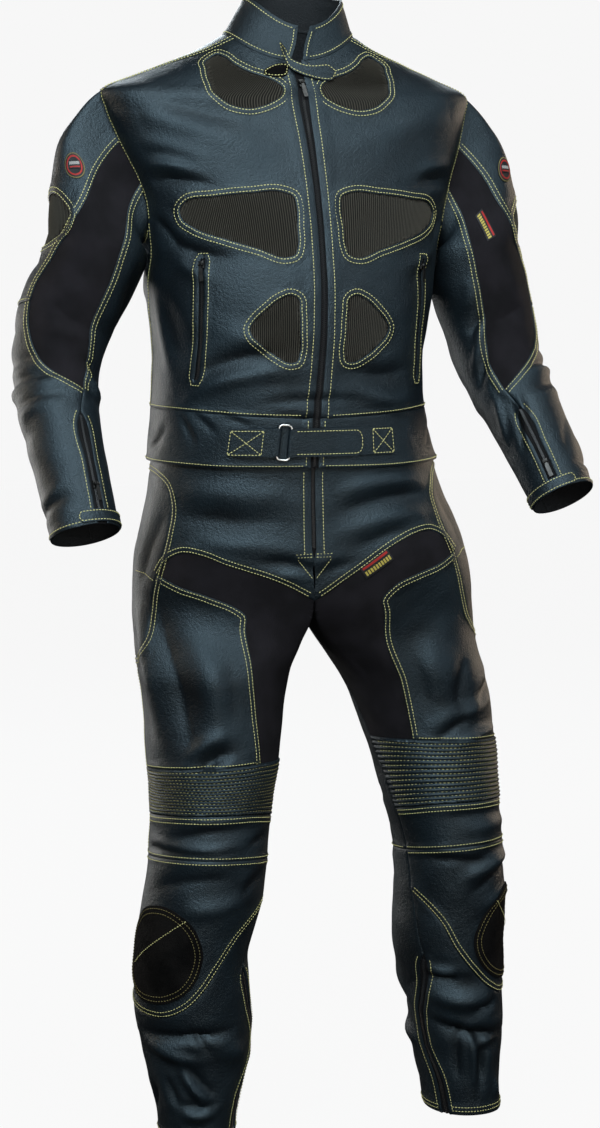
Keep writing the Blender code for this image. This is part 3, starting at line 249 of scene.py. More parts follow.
def body(angle, level, inset=0.0):
    """Angle 0 is the centre front, 90 the wearer's left and 180 the centre back."""
    a = np.radians(np.asarray(angle, float))
    ring = np.moveaxis(BODY_AT(level + 0 * a), -1, 0)
    side_z, front_z, back_z, width, front, back, mid_x, mid_y, turn = ring
    c, s = np.cos(a), np.sin(a)
    x = (width - inset) * power(s, 2 / SQUARE)
    y = -(np.where(c > 0, front, back) - inset) * power(c, 2 / SQUARE)
    z = side_z + np.where(c > 0, front_z - side_z, back_z - side_z) * c * c
    return turned(x, y, z, mid_x, mid_y, turn)


def clear_of_body(p, share):
    """Moves points that are inside the body, or too near it, straight out of it."""
    _, _, _, width, front, back, mid_x, mid_y, _ = np.moveaxis(BODY_AT(p[..., 2]), -1, 0)
    x, y = p[..., 0] - mid_x, p[..., 1] - mid_y
    size = (np.abs(x / width) ** SQUARE + np.abs(y / np.where(y < 0, front, back)) ** SQUARE) ** (1 / SQUARE)
    grow = np.maximum(1, (1 + share) / np.maximum(size, 0.2))
    return np.stack([mid_x + x * grow, mid_y + y * grow, p[..., 2]], -1)


def arm_ring(side, way, along):
    v = ARM_AT[side](along)
    a = np.clip(along, 4, CUFF)
    ahead = ARM_AT[side](a + 4)[..., :3] - ARM_AT[side](a - 4)[..., :3]
    ahead /= np.linalg.norm(ahead, axis=-1, keepdims=True)
    front = np.array([0, -1.0, 0]) + ahead * ahead[..., 1:2]
    front /= np.linalg.norm(front, axis=-1, keepdims=True)
    out = np.cross(front, ahead) * side
    w = np.radians(way)[..., None]
    return v[..., :3] + out * np.cos(w) * v[..., 3:4] + front * np.sin(w) * v[..., 4:5], out


def sleeve(side, way, along):
    """Way 0 is the arm's outer side, 90 its front, 180 its inner side. Along runs from armhole to cuff."""
    way, along = np.broadcast_arrays(np.asarray(way, float), np.asarray(along, float))
    at = ARMHOLE_AT(np.mod(way, 360))
    start = body(side * at[..., 0], at[..., 1])
    ring, out = arm_ring(side, way, along)
    first, _ = arm_ring(side, way, 0 * along)
    t = np.clip(along / SHOULDER_EASE, 0, 1)[..., None]
    head = SLEEVE_HEAD * np.sin(np.pi * t) * np.clip(np.cos(np.radians(way)), 0, 1)[..., None]
    p = ring + (start - first) * (1 - ease(t)) + out * head
    return clear_of_body(p, SLEEVE_CLEAR * np.clip(along / 40, 0, 1))


def leg(side, angle, level):
    """Angle 0 is the leg's front, 90 its outer side, 180 its back and -90 its inner side."""
    angle, level = np.broadcast_arrays(np.asarray(angle, float), np.asarray(level, float))
    angle = np.mod(angle - BACK_RISE, 360) + BACK_RISE - 360
    hip_drop, knee_drop = LEG_DROPS[side]
    outside = ease((angle - FRONT_RISE) / 50) * ease((BACK_RISE - angle) / 50)
    low = ease((HIP_LOW - level) / 150)
    level = level - hip_drop * outside * ease((HIP_HIGH - level) / 110) * (1 - low)
    level = level - knee_drop * low * (1 - ease((KNEE_HIGH - level) / 70))
    share = np.clip((FRONT_RISE - angle) / (360 + FRONT_RISE - BACK_RISE), 0, 1)
    inside = np.sin(np.pi * share)
    start_z = RISE_TOP - RISE_DROP * inside**0.6
    down = np.clip((RISE_TOP - level) / (RISE_TOP - PARTED), 0, 1)
    between = start_z + down * (PARTED - start_z)
    z = np.where((level > RISE_TOP) | (level < PARTED), level, between)
    mid_x, mid_y, half_side, half_front, half_back, turn = np.moveaxis(LEG_AT[side](z), -1, 0)
    b = np.radians(angle)
    s, c = np.sin(b), np.cos(b)
    tube = turned(side * half_side * s, -np.where(c > 0, half_front, half_back) * c, z, mid_x, mid_y, turn)
    round_body = np.clip((angle - FRONT_RISE) * 180 / (BACK_RISE - FRONT_RISE), 0, 180)
    inset = TROUSER_INSET * ease((z + 640) / 90)
    outer = body(side * round_body, z, inset)
    front, back = body(0 * z, z, inset), body(0 * z + 180, z, inset)
    w = share[..., None]
    half = np.where((angle < FRONT_RISE)[..., None], front * (1 - w) + back * w, outer)
    half[..., 2] = z
    d = np.clip((start_z - z) / 110, 0, 1)
    k = (ease(d) * (1 - inside) + (1 - (1 - d) ** 2) * inside)[..., None]
    return half * (1 - k) + tube * k


def collar(angle, up):
    a = np.radians(np.asarray(angle, float))
    base = body(angle, NECK)
    c, s = np.cos(a), np.sin(a)
    top = np.stack(
        [4 + 62 * s, 6 - np.where(c > 0, 50, 54) * c, np.where(c > 0, 68 - 40 * c * c, 68 + 20 * c * c)], -1
    )
    t = (np.asarray(up, float) / COLLAR_HEIGHT)[..., None]
    return base * (1 - t) + top * t


class Surface:
    """A surface of the suit: its outward side, the size of its coordinates in millimetres, and its folds."""

    def __init__(self, at, sign, v_step, size, folds=(), mirror=1, fade=None, depth=1.0):
        self.at, self.sign, self.v_step, self.size = at, sign, v_step, np.array(size)
        self.folds, self.mirror, self.fade, self.depth = folds, mirror, fade, depth

    def frame(self, uv):
        u, v = uv[:, 0], uv[:, 1]
        p = self.at(u, v)
        along_u = (self.at(u + 0.3, v) - self.at(u - 0.3, v)) / 0.6
        along_v = (self.at(u, v + self.v_step) - p) / self.v_step
        n = np.cross(along_u, along_v) * self.sign
        return p, units(n), along_u, along_v

    def relief(self, uv):
        """Height of the folds over the plain surface."""
        uv = uv * np.array([self.mirror, 1])
        height = np.zeros(len(uv)) + sum(fold_height(uv, fold, self.size) for fold in self.folds)
        return self.depth * height * (1 if self.fade is None else self.fade(uv))


FOLD_STEPS = 10  # straight parts in a fold's bow


def fold_height(uv, fold, size):
    """A soft ridge, or a trough where its depth is negative, along a bow between two places.

    Beside a ridge lies a shallow trough and beside a trough a low ridge, as where leather is pushed together.
    """
    u0, v0, u1, v1, bow, width, depth = fold
    if abs(u1 - u0) > 180:
        u1 += math.copysign(360, u0 - u1)
    middle = (u0 + u1) / 2
    a, b = np.array([u0, v0]) * size, np.array([u1, v1]) * size
    p = np.stack([(uv[:, 0] - middle + 180) % 360 - 180 + middle, uv[:, 1]], -1) * size
    reach = 5 * width + abs(bow)
    near = np.all((p > np.minimum(a, b) - reach) & (p < np.maximum(a, b) + reach), axis=1)
    out = np.zeros(len(p))
    p = p[near]
    if not len(p):
        return out
    ahead = b - a
    side = np.array([-ahead[1], ahead[0]]) / np.linalg.norm(ahead)
    t = np.linspace(0, 1, FOLD_STEPS + 1)[:, None]
    line = a + ahead * t + side * bow * 4 * t * (1 - t)
    best = np.full(len(p), 1e9)
    signed, share = np.zeros(len(p)), np.zeros(len(p))
    for k in range(FOLD_STEPS):
        d = line[k + 1] - line[k]
        s = np.clip(((p - line[k]) @ d) / (d @ d), 0, 1)
        gap = p - line[k] - d * s[:, None]
        far = np.linalg.norm(gap, axis=1)
        closer = far < best
        best = np.where(closer, far, best)
        signed = np.where(closer, np.sign(d[0] * gap[:, 1] - d[1] * gap[:, 0]) * far, signed)
        share = np.where(closer, (k + s) / FOLD_STEPS, share)
    ends = np.sin(np.pi * np.clip(share, 0.03, 0.97)) ** 0.7
    beside = signed - 1.9 * width
    crest = np.exp(-((best / width) ** 2)) if depth > 0 else np.exp(-((best / width) ** 1.25))
    out[near] = depth * ends * (crest - 0.4 * np.exp(-((beside / (1.3 * width)) ** 2)))
    return out


# ---------------------------------------------------------------- folds
# Each row: its two ends in the surface's own coordinates, the bow between them, width and depth.
# A trough's depth is negative.

# Jacket: angle (negative on the wearer's right), level.
BODY_FOLDS = [
    # under and before the right arm
    (-66, -146, -42, -156, 7, 9, 3.4), (-70, -170, -34, -172, 8, 10, -4.2),
    (-66, -118, -30, -142, 6, 15, 2.2), (-60, -78, -22, -122, 10, 26, 3.2),
    (-50, -52, -18, -84, 6, 20, -2.4), (-74, -214, -60, -246, 5, 9, -3.2),
    (-66, -238, -30, -262, -6, 9, -3.4), (-62, -262, -44, -284, -5, 11, 2.2),
    # under and before the left arm
    (70, -166, 40, -166, -7, 8, -3.6), (66, -142, 38, -150, -5, 10, 2.8), (58, -66, 18, -110, -9, 25, 2.8),
    (72, -206, 58, -236, -4, 8, -3.0), (60, -248, 36, -268, 5, 10, 2.0),
    # belly, over the waist seam
    (-56, -432, -6, -400, 10, 12, 3.6), (-52, -404, -8, -376, 9, 11, -2.8),
    (-40, -350, -12, -392, 6, 15, 2.0), (14, -424, 48, -436, -8, 13, 3.4),
    (10, -402, 44, -398, -6, 11, -2.6), (-22, -440, 20, -438, 4, 6, -1.8),
    (62, -330, 78, -420, 5, 13, -2.8), (-80, -300, -70, -410, -6, 14, 2.6),
    # waistband
    (-62, -456, -50, -492, 3, 5, -2.4), (-52, -455, -40, -478, 2, 4, -2.0),
    (-38, -457, -24, -470, 2, 4, -1.7), (-16, -455, 4, -463, 2, 5, -2.0), (30, -455, 46, -462, -2, 5, -1.6),
    (58, -500, 80, -470, 3, 6, -2.0), (-88, -508, -70, -470, -3, 7, -2.2),
    # side and back
    (92, -262, 124, -292, 8, 13, -3.6), (-92, -262, -122, -286, -8, 13, -3.8),
    (96, -308, 140, -330, 8, 15, 2.8), (-98, -300, -138, -334, -8, 14, 2.6),
    (104, -204, 132, -170, 10, 15, 3.4), (-104, -200, -134, -176, -10, 15, 3.2),
    (100, -384, 168, -412, 9, 11, -3.6), (-104, -392, -160, -404, -8, 11, -3.2),
    (112, -422, 176, -436, 6, 9, 2.4), (-116, -426, -170, -432, -6, 9, 2.6),
    (150, -60, 176, -150, 9, 22, 2.2), (-150, -66, -172, -158, -9, 20, 2.2),
    (130, -458, 150, -500, 3, 7, -2.4), (-128, -458, -152, -496, -3, 7, -2.2),
    (164, -456, -176, -470, 3, 6, -1.8),
]

# Sleeves: way, along.
SLEEVE_FOLDS = {
    RIGHT: [
        (-34, 296, 58, 306, 5, 7, -2.8), (-30, 316, 84, 338, 7, 8, -4.4), (-44, 334, 90, 352, -6, 6, 2.8),
        (-14, 352, 96, 362, 5, 6, -3.4), (10, 376, 84, 368, -5, 7, 2.0), (-30, 386, 50, 396, 5, 10, -1.8),
        (-26, 496, 74, 484, -4, 5, -2.2), (-16, 478, 60, 468, 5, 7, 1.6), (118, 300, 160, 330, 5, 8, -3.4),
        (124, 330, 176, 352, 6, 7, 3.0), (-60, 268, 8, 262, 6, 9, -2.4), (-46, 62, 26, 44, 7, 16, 2.4),
        (-60, 176, 16, 196, -8, 14, -2.6), (76, 40, 96, 118, 7, 12, -2.4), (92, 128, 74, 214, -8, 13, 2.0),
        (60, 226, 108, 254, 6, 11, -2.6), (64, 262, 110, 270, 5, 9, 1.8), (140, 120, 168, 214, 8, 14, -3.0),
        (-84, 292, -140, 300, -6, 10, -3.2), (-80, 330, -150, 340, -5, 10, 2.8),
        (200, 244, 246, 256, 5, 11, -3.4), (186, 300, 236, 324, 5, 9, -3.0),
        (196, 402, 244, 430, 6, 10, 2.2),
    ],
    LEFT: [
        (-30, 290, 40, 300, 5, 7, -2.4), (-26, 312, 74, 334, 6, 7, -4.0), (-36, 330, 84, 352, -5, 6, 2.6),
        (2, 350, 98, 368, 5, 6, -3.0), (108, 366, 126, 432, 7, 6, 3.2), (122, 372, 142, 450, 7, 6, -3.6),
        (140, 352, 168, 420, 6, 7, 2.4), (20, 404, 70, 470, -6, 9, -1.9), (-20, 420, 30, 488, -6, 11, 1.8),
        (-24, 494, 70, 486, -4, 5, -2.0), (114, 214, 140, 262, 6, 7, -3.2), (120, 246, 148, 306, 6, 6, 2.8),
        (122, 290, 156, 336, 5, 7, -3.2), (118, 150, 134, 206, 6, 9, 2.2), (-46, 60, 24, 46, 7, 16, 2.2),
        (-56, 180, 14, 196, -8, 14, -2.4), (72, 44, 94, 122, 6, 12, -2.4), (60, 226, 106, 250, 6, 12, -2.6),
        (-84, 290, -138, 302, -6, 10, -3.0), (-82, 334, -148, 338, -5, 9, 2.6),
        (198, 240, 246, 258, 5, 11, -3.2), (190, 310, 238, 326, 5, 9, -2.8),
    ],
}

# Trousers: angle (0 is the leg's front, 90 its outer side), level.
LEG_FOLDS = {
    RIGHT: [
        (-46, -560, 36, -546, 7, 13, 2.2), (-44, -588, 30, -572, 7, 12, -2.4),
        (-40, -622, 10, -600, 6, 11, 2.0), (-52, -650, -28, -632, 4, 7, -2.6),
        (-53, -668, -38, -650, 3, 5, 2.0), (44, -560, 60, -660, 5, 13, -2.2),
        (38, -690, 26, -872, 8, 17, -4.6), (17, -712, 6, -846, -6, 17, 3.2),
        (-8, -730, -10, -850, 4, 14, -1.8), (30, -884, -6, -846, -8, 10, 4.0),
        (22, -898, -12, -868, -6, 8, -4.6), (64, -700, 58, -860, 6, 15, 2.6),
        (-30, -982, 44, -992, 5, 6, -2.6), (-20, -1000, 70, -1004, -4, 6, 2.4),
        (10, -1012, 88, -1014, 4, 5, -2.6), (-60, -996, -30, -1006, 3, 5, -1.8),
        (-20, -1046, 60, -1060, 7, 10, -2.6), (-40, -1070, 30, -1084, -6, 11, 2.2),
        (-64, -1044, -30, -1070, 5, 8, -2.2), (66, -1254, -40, -1250, 4, 6, -4.6),
        (57, -1267, -2, -1288, 3, 9, 4.5), (5, -1249, -12, -1279, -3, 6, -3),
        (20, -1300, -16, -1347, 5, 7, 3.8), (10, -1300, -23, -1339, 3, 8, -3.8),
        (-16, -1268, -63, -1285, 3, 14, 3), (39, -1312, 25, -1354, 3, 9, -3.5),
        (27, -1349, -27, -1349, 4, 6, -3.4), (25, -1361, -22, -1362, 3, 8, 2.8),
        (60, -1330, 84, -1372, 5, 10, -3.4), (96, -1262, 150, -1290, 8, 12, -5.0),
        (110, -1306, 170, -1330, 7, 12, 3.8), (180, -1240, 262, -1262, 8, 13, -4.6),
        (190, -1284, 268, -1300, -7, 12, 3.6), (130, -1352, 240, -1366, 6, 12, -3.8),
        (120, -964, 240, -948, 7, 9, -4.6), (126, -986, 236, -974, 7, 8, 3.8),
        (120, -1010, 244, -1000, 6, 9, -4.8), (130, -1060, 230, -1052, 7, 10, 3.4),
        (132, -1080, 240, -1076, 6, 11, -3.2), (124, -720, 196, -744, 9, 15, -4.0),
        (128, -770, 220, -776, 8, 16, 3.2), (118, -600, 190, -640, 10, 18, -3.0),
    ],
    LEFT: [
        (-46, -556, 34, -544, 7, 12, 2.6), (-44, -580, 32, -566, 6, 10, -2.8),
        (-42, -606, 26, -590, 6, 10, 2.4), (-38, -630, 8, -612, 5, 8, -2.4),
        (-53, -662, -36, -642, 4, 6, -2.4), (46, -556, 62, -650, 5, 12, -2.2),
        (-4, -840, 22, -752, 8, 14, 3.2), (14, -852, 42, -780, 7, 9, -3.4),
        (-18, -864, -8, -760, -6, 15, -2.2), (-16, -890, 32, -858, 5, 7, -4.8),
        (0, -896, 58, -880, 5, 6, 3.6), (12, -868, 60, -838, 5, 8, 3.6), (30, -858, 72, -818, 5, 7, -3.8),
        (-30, -984, 40, -980, 4, 7, -1.8), (-10, -1000, 70, -998, 4, 8, 1.9),
        (-70, -1040, 20, -1046, 5, 6, -2.4), (-20, -1066, 56, -1040, 6, 8, 3.4),
        (-10, -1084, 66, -1054, 6, 7, -3.4), (0, -1108, 60, -1088, 5, 9, 2.2),
        (-67, -1225, 15, -1230, -6, 13, 5.6), (-72, -1263, 43, -1286, -8, 8, -6.2),
        (22, -1236, -16, -1246, 4, 6, -3.5), (-63, -1200, -25, -1201, -3, 6, -3.8),
        (-57, -1191, -27, -1193, -3, 7, 3), (-21, -1274, -18, -1359, 5, 8, 4.2),
        (-35, -1273, -39, -1348, -3, 9, -3), (30, -1289, -10, -1299, -3, 6, 3.2),
        (-7, -1303, -5, -1352, 4, 9, -3.6), (20, -1354, 30, -1379, 3, 12, 2.5),
        (92, -1240, 150, -1262, 8, 12, -5.2), (104, -1290, 166, -1310, 7, 12, 3.8),
        (178, -1246, 262, -1256, 8, 13, -4.8), (188, -1280, 268, -1296, -7, 12, 3.6),
        (126, -1350, 238, -1362, 6, 12, -3.8), (118, -962, 242, -950, 7, 9, -4.6),
        (124, -984, 238, -976, 7, 8, 3.8), (120, -1008, 242, -1002, 6, 9, -4.6),
        (128, -1058, 232, -1050, 7, 10, 3.4), (130, -1084, 240, -1074, 6, 11, -3.2),
        (122, -724, 196, -740, 9, 15, -4.0), (126, -768, 222, -780, 8, 16, 3.2),
        (116, -604, 192, -636, 10, 18, -3.0),
    ],
}

BODY_SIZE = (3.0, 1.15)
ARM_SIZE = (1.1, 1.0)
LEG_SIZE = (1.5, 1.0)
SEAM_STEP = 3.0
HOLE_STEP = 2.4  # degrees from one point of the armhole to the next

BODY_DEPTH, ARM_DEPTH, LEG_DEPTH = 1.5, 1.4, 1.7
BODY_ROUND = Surface(body, 1, -1.0, BODY_SIZE, BODY_FOLDS, depth=BODY_DEPTH)
WAIST_ROUND = Surface(lambda u, v: body(u, v, TROUSER_INSET * ease((v + 640) / 90)), 1, -1.0, BODY_SIZE)
BODY_SIDE, SLEEVE, TROUSER = {}, {}, {}
for one_side in (RIGHT, LEFT):
    BODY_SIDE[one_side] = Surface(
        lambda u, v, side=one_side: body(side * u, v), one_side, -1.0, BODY_SIZE, BODY_FOLDS,
        mirror=one_side, depth=BODY_DEPTH,
    )
    SLEEVE[one_side] = Surface(
        partial(sleeve, one_side), one_side, 1.0, ARM_SIZE, SLEEVE_FOLDS[one_side],
        fade=lambda uv: ease(uv[:, 1] / 30), depth=ARM_DEPTH,
    )
    TROUSER[one_side] = Surface(
        partial(leg, one_side), one_side, -1.0, LEG_SIZE, LEG_FOLDS[one_side],
        fade=lambda uv: ease((TROUSER_TOP - uv[:, 1]) / 40), depth=LEG_DEPTH,
    )
COLLAR = Surface(collar, 1, 1.0, (1.15, 1.0))


# ---------------------------------------------------------------- seams
def sampled(points, size, step=SEAM_STEP, closed=False):
    """Points at an even spacing along a smooth curve. `size` is a coordinate unit's millimetres."""
    pts = np.asarray(points, float)
    if len(pts) == 2 and not closed:
        dense = pts[0] + (pts[1] - pts[0]) * np.linspace(0, 1, 2)[:, None]
    else:
        loop = np.vstack([pts[-3:], pts, pts[:4]]) if closed else pts
        chord = distances(loop * size)
        lo, hi = (chord[3], chord[3 + len(pts)]) if closed else (0, chord[-1])
        dense = smooth(chord, loop)(np.linspace(lo, hi, 200 * len(pts)))
    run = distances(dense * size)
    n = max(8 if closed else 1, round(run[-1] / step))
    out = read_off(np.linspace(0, run[-1], n + 1), run, dense)
    if not closed:
        out[0], out[-1] = pts[0], pts[-1]
        return out
    return out[:-1]


def chain(*runs):
    """One closed outline from seams laid end to end."""
    return np.array([place for run in runs for place in run[:-1]])


def shifted(run, by):
    return run + np.array([by, 0.0])


def round_the_back(run):
    return np.stack([360 - run[:, 0], run[:, 1]], -1)


def body_seam(*points):
    return sampled(points, BODY_SIZE)


def arm_seam(*points):
    return sampled(points, ARM_SIZE)


def leg_seam(*points):
    return sampled(points, LEG_SIZE)


def armhole_run(way_from, way_to):
    """A part of the armhole, as places on the sleeve and as the same places on the body."""
    ways = np.linspace(way_from, way_to, max(1, round(abs(way_to - way_from) / HOLE_STEP)) + 1)
    return np.stack([ways, 0 * ways], -1), ARMHOLE_AT(np.mod(ways, 360))


# Jacket, for either side: (angle from the centre front, level).
ZIP_EDGE = body_seam((2.8, NECK), (1.5, 20), (1.1, -50), (1.1, WAIST - WAIST_DIP))
ZIP_LOW = body_seam((1.1, WAIST - WAIST_DIP), (1.1, BAND_BOTTOM))
NECK_FRONT = body_seam((2.8, NECK), (68, NECK))
NECK_BACK = body_seam((68, NECK), (180, NECK))
SHOULDER = body_seam((68, NECK), (73, 45), (80, 22), (86, -8), (90, -40))
HOLE_PARTS = ("front_high", "front_mid", "front_low", "back_low", "back_high")
HOLE_WAYS = (0, 68, 110, 150, 250, 360)
HOLE, HOLE_ON_BODY = {}, {}
for part, start, end in zip(HOLE_PARTS, HOLE_WAYS, HOLE_WAYS[1:]):
    HOLE[part], HOLE_ON_BODY[part] = armhole_run(start, end)
SIDE_START = tuple(HOLE_ON_BODY["front_low"][-1])
SIDE = body_seam(SIDE_START, (83, -258), (90, -300), (93, -370), (94, WAIST))
WAIST_FRONT = body_seam((1.1, WAIST - WAIST_DIP), (25, WAIST - 8), (55, WAIST - 3), (94, WAIST))
WAIST_BACK = body_seam((94, WAIST), (180, WAIST))
BAND_LOW = body_seam((1.1, BAND_BOTTOM), (30, BAND_BOTTOM), (60, BAND_BOTTOM + 3), (180, BAND_BOTTOM + 6))
VENTS = {
    "vent_collar": [
        (55, 31), (56.5, 39), (50, 41), (37, 35), (24, 26), (12.5, 16), (6.8, 0), (5.6, -18),
        (6.6, -38), (10.4, -51), (15, -57), (19.6, -54), (25, -38), (34.2, -6), (45.4, 17),
    ],
    "vent_chest": [
        (55, -204), (51, -193), (37, -186), (22, -181), (11, -179), (7.5, -184), (6.8, -196), (7.3, -223),
        (7.9, -249), (9, -258), (12, -261), (22, -251), (35, -239), (49.4, -224), (54.4, -214),
    ],
    "vent_belly": [
        (28, -348), (26.3, -340), (21, -325), (15, -311), (11.2, -307), (8.8, -311), (8.2, -326),
        (8, -354), (8, -380), (9, -389), (11.5, -390), (17, -382), (23.2, -368), (27, -357),
    ],
}
POCKET_TOP, POCKET_LOW = (47.5, -262), (54, -412)

# Sleeve, for either side: (way, along).
STRETCH_OUT = arm_seam((68, 0), (66, 40), (62, 80), (50, 110), (36, 142), (31, 175), (27, 208), (27, 235))
STRETCH_OUT_LOW = arm_seam((27, 235), (34, 262), (46, 292), (66, 325), (92, 344), (120, 356))
STRETCH_IN = arm_seam(
    (110, 0), (109, 45), (107, 90), (105, 125), (106, 155), (109, 200),
    (113, 250), (119, 282), (122, 305), (121, 335), (120, 356),
)
ELBOW = arm_seam((-110, 244), (-40, 240), (27, 235))
ARM_BACK_HIGH = arm_seam((-110, 0), (-110, 244))
ARM_BACK_LOW = arm_seam((-110, 244), (-110, CUFF))
ZIP_TOP = (113, 386)
FOREARM_IN = arm_seam((120, 356), ZIP_TOP)
CUFF_ZIP_OUT = arm_seam(ZIP_TOP, (106.5, 398), (105.5, 450), (104.5, CUFF))
CUFF_ZIP_IN = arm_seam(ZIP_TOP, (119.5, 398), (120.5, 450), (121.5, CUFF))
CUFF_OUTER = arm_seam((-110, CUFF), (104.5, CUFF))
CUFF_UNDER = arm_seam((121.5, CUFF), (250, CUFF))
SLEEVE_VENT = [
    (-28, 106), (0, 96), (32, 95), (44, 102), (42, 114), (30, 130), (6, 149), (-18, 150), (-31, 132),
]

# Trousers, for either side: (angle, level).
P_LOOP = (42, -643)  # the hip curve, the thigh's top line and the side loop meet here
FLY_EDGE = leg_seam((-51.5, TROUSER_TOP), (-51.5, -624))
FLY_END = leg_seam((-51.5, -624), (FRONT_RISE, -636))
CENTRE_FRONT = leg_seam((FRONT_RISE, -636), (FRONT_RISE, RISE_TOP))
CENTRE_BACK = leg_seam((BACK_RISE, TROUSER_TOP), (BACK_RISE, RISE_TOP))
INSEAM_ANGLE = -95
RISE_FRONT = leg_seam((FRONT_RISE, RISE_TOP), (INSEAM_ANGLE, RISE_TOP))
RISE_BACK = leg_seam((BACK_RISE, RISE_TOP), (360 + INSEAM_ANGLE, RISE_TOP))
TOP_BACK = leg_seam((112, TROUSER_TOP), (BACK_RISE, TROUSER_TOP))
OUTER_TOP = leg_seam((112, TROUSER_TOP), (112, -527))
OUTER_HIP = leg_seam((112, -527), (112, -620), (109, -700), (104, -758))
OUTER_THIGH = leg_seam((104, -758), (98, -830), (96, -900))
OUTER_KNEE = leg_seam((96, -900), (98, -972))
OUTER_BAND = leg_seam((98, -972), (101, -1026))
OUTER_SHIN = leg_seam((101, -1026), (104, -1100), (104, -1216))
LOOP_HIGH = leg_seam(
    (112, -527), (86, -527), (66, -531), (50, -541), (41, -560), (38, -590), (39, -620), P_LOOP
)
LOOP_LOW = leg_seam(P_LOOP, (46, -668), (50, -697), (58, -727), (76, -750), (104, -758))
HIP_CURVE = leg_seam(
    P_LOOP, (34, -624), (22, -614), (6, -617), (-8, -627), (-24, -643), (-40, -664), (FRONT_RISE, RISE_TOP)
)
THIGH_EDGE = leg_seam(
    P_LOOP, (22, -657), (2, -668), (-14, -682), (-21, -697),
    (-20, -715), (-22, -760), (-27, -815), (-36, -886),
)
INSEAM = leg_seam((INSEAM_ANGLE, RISE_TOP), (-96, -760), (-92, -820), (-84, -890))
INSEAM_KNEE = leg_seam((-84, -890), (-80, -975))
INSEAM_BAND = leg_seam((-80, -975), (-78, -1031))
INSEAM_SHIN = leg_seam((-78, -1031), (-75, -1085))
KNEE_TOP_IN = leg_seam((-84, -890), (-36, -886))
KNEE_TOP = leg_seam((-36, -886), (20, -889), (96, -900))
KNEE_LOW = leg_seam((-80, -975), (-28, -963), (20, -962), (98, -972))
BAND_LINE = leg_seam((-78, -1031), (-30, -1022), (20, -1019), (101, -1026))
SHIN_LINE = leg_seam(
    (-75, -1085), (-60, -1099), (-41, -1124), (-25, -1163), (-10, -1193),
    (6, -1215), (27, -1229), (55, -1230), (80, -1224), (104, -1216),
)
KNEE_BACK = leg_seam((101, -1026), (190, -1040), (282, -1031))
ANKLE_ZIP_TOP = (-61, -1170)
CALF_IN = leg_seam((-75, -1085), ANKLE_ZIP_TOP)
ANKLE_ZIP_FRONT = leg_seam(
    ANKLE_ZIP_TOP, (-59, -1182), (-64, -1215), (-77, -1262), (-77, -1302), (-62, -1347), (-58, HEM)
)
ANKLE_ZIP_BACK = leg_seam(
    ANKLE_ZIP_TOP, (-67, -1182), (-73, -1215), (-86, -1262), (-86, -1302), (-73, -1347), (-70, HEM)
)
HEM_ROUND = leg_seam((-58, HEM), (290, HEM))
SLIDER = [
    (76, -1094), (46, -1082), (20, -1096), (2, -1122), (-6, -1147), (-4, -1171), (6, -1193),
    (24, -1208), (45, -1212), (68, -1206), (84, -1188), (91, -1155), (88, -1118),
]


# ---------------------------------------------------------------- settings
def size_setting(name, description, default):
    return FloatProperty(name=name, description=description, default=default, unit="LENGTH")


def colour_setting(name, description, default):
    return FloatVectorProperty(name=name, description=description, default=default, subtype="COLOR")


class RaceSuitCloth(bpy.types.PropertyGroup):
    leather: size_setting("Leather", "Thickness of the cowhide", 0.0014)
    stretch: size_setting("Stretch cloth", "Thickness of the stretch cloth", 0.0012)
    collar: size_setting("Collar", "Thickness of the doubled collar", 0.0026)
    mesh_step: size_setting("Mesh step", "Spacing of points in a panel", 0.0048)
    seam_gap: size_setting("Seam gap", "Gap between two pieces at a seam", 0.00012)
    lap: size_setting("Lap", "Height of a seam's lapped band", 0.0009)
    roll: size_setting("Roll", "How far a cut edge rolls down", 0.0009)
    rib_pitch: size_setting("Rib pitch", "Spacing of the vents' ribs", 0.0025)
    pleats: IntProperty(name="Knee pleats", description="Stitched pleats over each knee", default=15)


class RaceSuitThread(bpy.types.PropertyGroup):
    pitch: size_setting("Pitch", "From one stitch to the next", 0.0041)
    stitch: size_setting("Stitch", "Length of one stitch", 0.0029)
    radius: size_setting("Radius", "Radius of the thread", 0.00048)
    colour: colour_setting("Colour", "Colour of the sewing thread", (0.60, 0.57, 0.24))


class RaceSuitColours(bpy.types.PropertyGroup):
    # Painted light: the leather's colour runs from the first colour below, painted shade where the cloth lies
    # low in folds, pleats and rolled edges, to the second, a painted highlight where it stands high, tinted
    # blue for bluish sky light; both also set the tone of its random patches.
    hide: colour_setting("Hide", "Colour in the hollows of the leather", (0.0030, 0.0037, 0.0048))
    hide_lit_and_pale: colour_setting("Hide, lit", "Colour on the leather's high places", (0.0070, 0.0120, 0.0160))
    stretch: colour_setting("Stretch cloth", "Colour of the stretch cloth", (0.0055, 0.0048, 0.0062))
    rib: colour_setting("Vents", "Colour of the vents' ribs", (0.046, 0.042, 0.032))
    metal: colour_setting("Metal", "Colour of the metal", (0.72, 0.71, 0.68))
    floor: colour_setting("Floor", "Colour of the floor", (0.925, 0.925, 0.925))


# ---------------------------------------------------------------- cutting cloth
def nearest(points, runs):
    """Distance from each point to the nearest point of some runs."""
    line = np.vstack(runs)
    tree = KDTree(len(line))
    for i, p in enumerate(line):
        tree.insert((p[0], p[1], 0), i)
    tree.balance()
    return np.array([tree.find((p[0], p[1], 0))[2] for p in points])


def inside(points, loop):
    """Which points lie inside a closed outline."""
    x, y = points[:, 0], points[:, 1]
    within = np.zeros(len(points), bool)
    for a, b in zip(loop, np.roll(loop, -1, axis=0)):
        if a[1] != b[1]:
            crosses = (a[1] > y) != (b[1] > y)
            within ^= crosses & (x < a[0] + (y - a[1]) / (b[1] - a[1]) * (b[0] - a[0]))
    return within


def side_of(run, outline):
    """1 where the inside of a closed outline is on the left of a run, and -1 on the right."""
    k = len(run) // 2
    d = run[min(k + 1, len(run) - 1)] - run[k - 1]
    left = np.array([-d[1], d[0]]) / np.linalg.norm(d)
    return 1 if inside(np.array([run[k] + left * 1.5]), outline)[0] else -1


